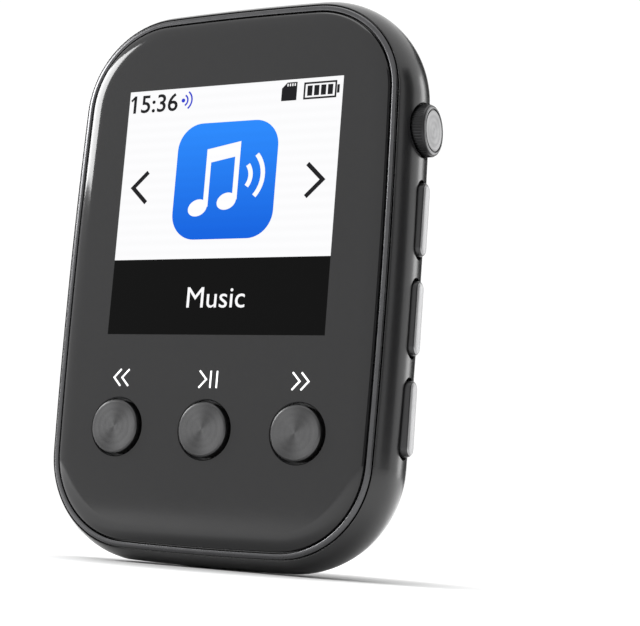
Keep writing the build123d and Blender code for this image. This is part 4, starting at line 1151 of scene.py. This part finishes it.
class PLAYER_OT_stage(PieceOperator, bpy.types.Operator):
    """Set the pale floor with a painted soft shadow round the player, the soft lights and the camera"""
    bl_idname = "player.stage"
    bl_label = "Floor, lights and camera"

    def build(self):
        settings = bpy.context.scene.player_stage
        floor_finish = Finish("floor_pale_painted_shadow", settings.floor, 0.9)
        # Painted shadow: the floor darkens to half its colour close round the player, a soft contact shadow painted
        # into its colour.
        x, y, _ = floor_finish.axes(floor_finish.point())
        reach = ((x * x + y * y).math("SQRT") * 45.0 - 0.5).math("MINIMUM", 1.0).math("MAXIMUM", 0.0)
        far = reach * reach * (3.0 - reach * 2.0)
        painted_shadow_tone = tuple(c * 0.5 for c in settings.floor)
        floor_finish.set(base_color=floor_finish.mix(far, (*painted_shadow_tone, 1), (*settings.floor, 1)))
        disc = [(3.0 * math.cos(a), 3.0 * math.sin(a), 0.0) for a in np.linspace(0, 2 * math.pi, 64, endpoint=False)]
        floor = new_object("floor", mesh_of("floor", disc, [tuple(range(64))]))
        floor.data.materials.append(floor_finish.material)
        self.sky()
        self.lamp("right_strip", (0.19, 0.31, 0.09), 0.08, 0.3, 2.4)
        self.lamp("front_left_box", (-0.32, -0.141, 0.183), 0.24, 0.125, 15.0)
        self.lamp("left_box", (-0.31, 0.17, 0.15), 0.09, 0.3, 5.0)
        self.lamp("top_box", (-0.02, -0.04, 0.42), 0.25, 0.25, 1.6)
        self.flag("front_flag", -44, -3)
        self.flag("right_flag", 9, 30)
        self.flag("back_flag", 72, 100)
        self.camera(settings.camera_height)

    @staticmethod
    def sky():
        """Even pale light from all round."""
        world = bpy.data.worlds.new("studio")
        world.use_nodes = True
        tree = world.node_tree
        background = tree.nodes["Background"]
        background.inputs["Color"].default_value = (1, 1, 1, 1)
        background.inputs["Strength"].default_value = 1.06
        bpy.context.scene.world = world
        bpy.context.scene.view_settings.view_transform = "Standard"

    @staticmethod
    def flag(name, start, end, radius=0.62, low=0.0, high=0.5):
        """A dark curved card out of the camera's sight, which the gloss surfaces mirror between two bearings."""
        bearings = np.radians(np.linspace(start, end, 13))
        rim = [(radius * math.cos(a), radius * math.sin(a)) for a in bearings]
        points = [(x, y, low) for x, y in rim] + [(x, y, high) for x, y in rim]
        count = len(rim)
        faces = [(i, i + 1, count + i + 1, count + i) for i in range(count - 1)]
        card = new_object(name, mesh_of(name, points, faces))
        card.data.materials.append(moulded(name + "_card", (0.03, 0.03, 0.03), 0.9))
        card.visible_camera = card.visible_diffuse = card.visible_shadow = False

    @staticmethod
    def lamp(name, place, width, height, brightness):
        """A soft box that faces the player's middle, with the brightness of its surface against the sky's."""
        data = bpy.data.lights.new(name, "AREA")
        data.shape, data.size, data.size_y = "RECTANGLE", width, height
        data.energy = brightness * bpy.context.scene.player_stage.light * math.pi * width * height
        made = new_object(name, data)
        away = Vector(place) - Vector((CENTRE_X, 0, MID_Z))
        made.matrix_world = Matrix.Translation(place) @ away.to_track_quat("Z", "Y").to_matrix().to_4x4()

    @staticmethod
    def camera(height):
        """The camera looks up at the player from its front right."""
        data = bpy.data.cameras.new("camera")
        data.sensor_width, data.lens, data.clip_start = 36.0, CAMERA_LENS, 0.005
        place = Vector((CAMERA_X, CAMERA_Y, height))
        away = (place - CAMERA_AIM).normalized()
        across = CAMERA_UP.cross(away).normalized()
        made = new_object("camera", data)
        turn = Matrix((across, away.cross(across), away)).transposed().to_4x4()
        made.matrix_world = Matrix.Translation(place) @ turn
        bpy.context.scene.camera = made


PIECES = (PLAYER_OT_casing, PLAYER_OT_glass, PLAYER_OT_screen, PLAYER_OT_legends, PLAYER_OT_front_keys,
          PLAYER_OT_side_keys, PLAYER_OT_power_key, PLAYER_OT_clip, PLAYER_OT_speaker_cloth, PLAYER_OT_finishes,
          PLAYER_OT_stage)


class PLAYER_PT_panel(bpy.types.Panel):
    """Sizes, colours and pieces of the player"""
    bl_label = "Audio player"
    bl_space_type = "VIEW_3D"
    bl_region_type = "UI"
    bl_category = "Player"

    def draw(self, context):
        for group in (context.scene.player_sizes, context.scene.player_colours, context.scene.player_stage):
            box = self.layout.box()
            for name in group.bl_rna.properties.keys():
                if name not in ("rna_type", "name"):
                    box.prop(group, name)
        for operator in PIECES:
            self.layout.operator(operator.bl_idname)


CLASSES = (PlayerSizes, PlayerColours, StageSettings, *PIECES, PLAYER_PT_panel)


def register():
    """Registers the classes and the scene's settings."""
    for cls in CLASSES:
        bpy.utils.register_class(cls)
    bpy.types.Scene.player_sizes = bpy.props.PointerProperty(type=PlayerSizes)
    bpy.types.Scene.player_colours = bpy.props.PointerProperty(type=PlayerColours)
    bpy.types.Scene.player_stage = bpy.props.PointerProperty(type=StageSettings)


def unregister():
    """Removes the settings and the classes."""
    for name in ("player_stage", "player_colours", "player_sizes"):
        delattr(bpy.types.Scene, name)
    for cls in reversed(CLASSES):
        bpy.utils.unregister_class(cls)


def main():
    """Builds every piece and the stage."""
    register()
    for operator in PIECES:
        group, action = operator.bl_idname.split(".")
        getattr(getattr(bpy.ops, group), action)()


if __name__ == "__main__":
    main()
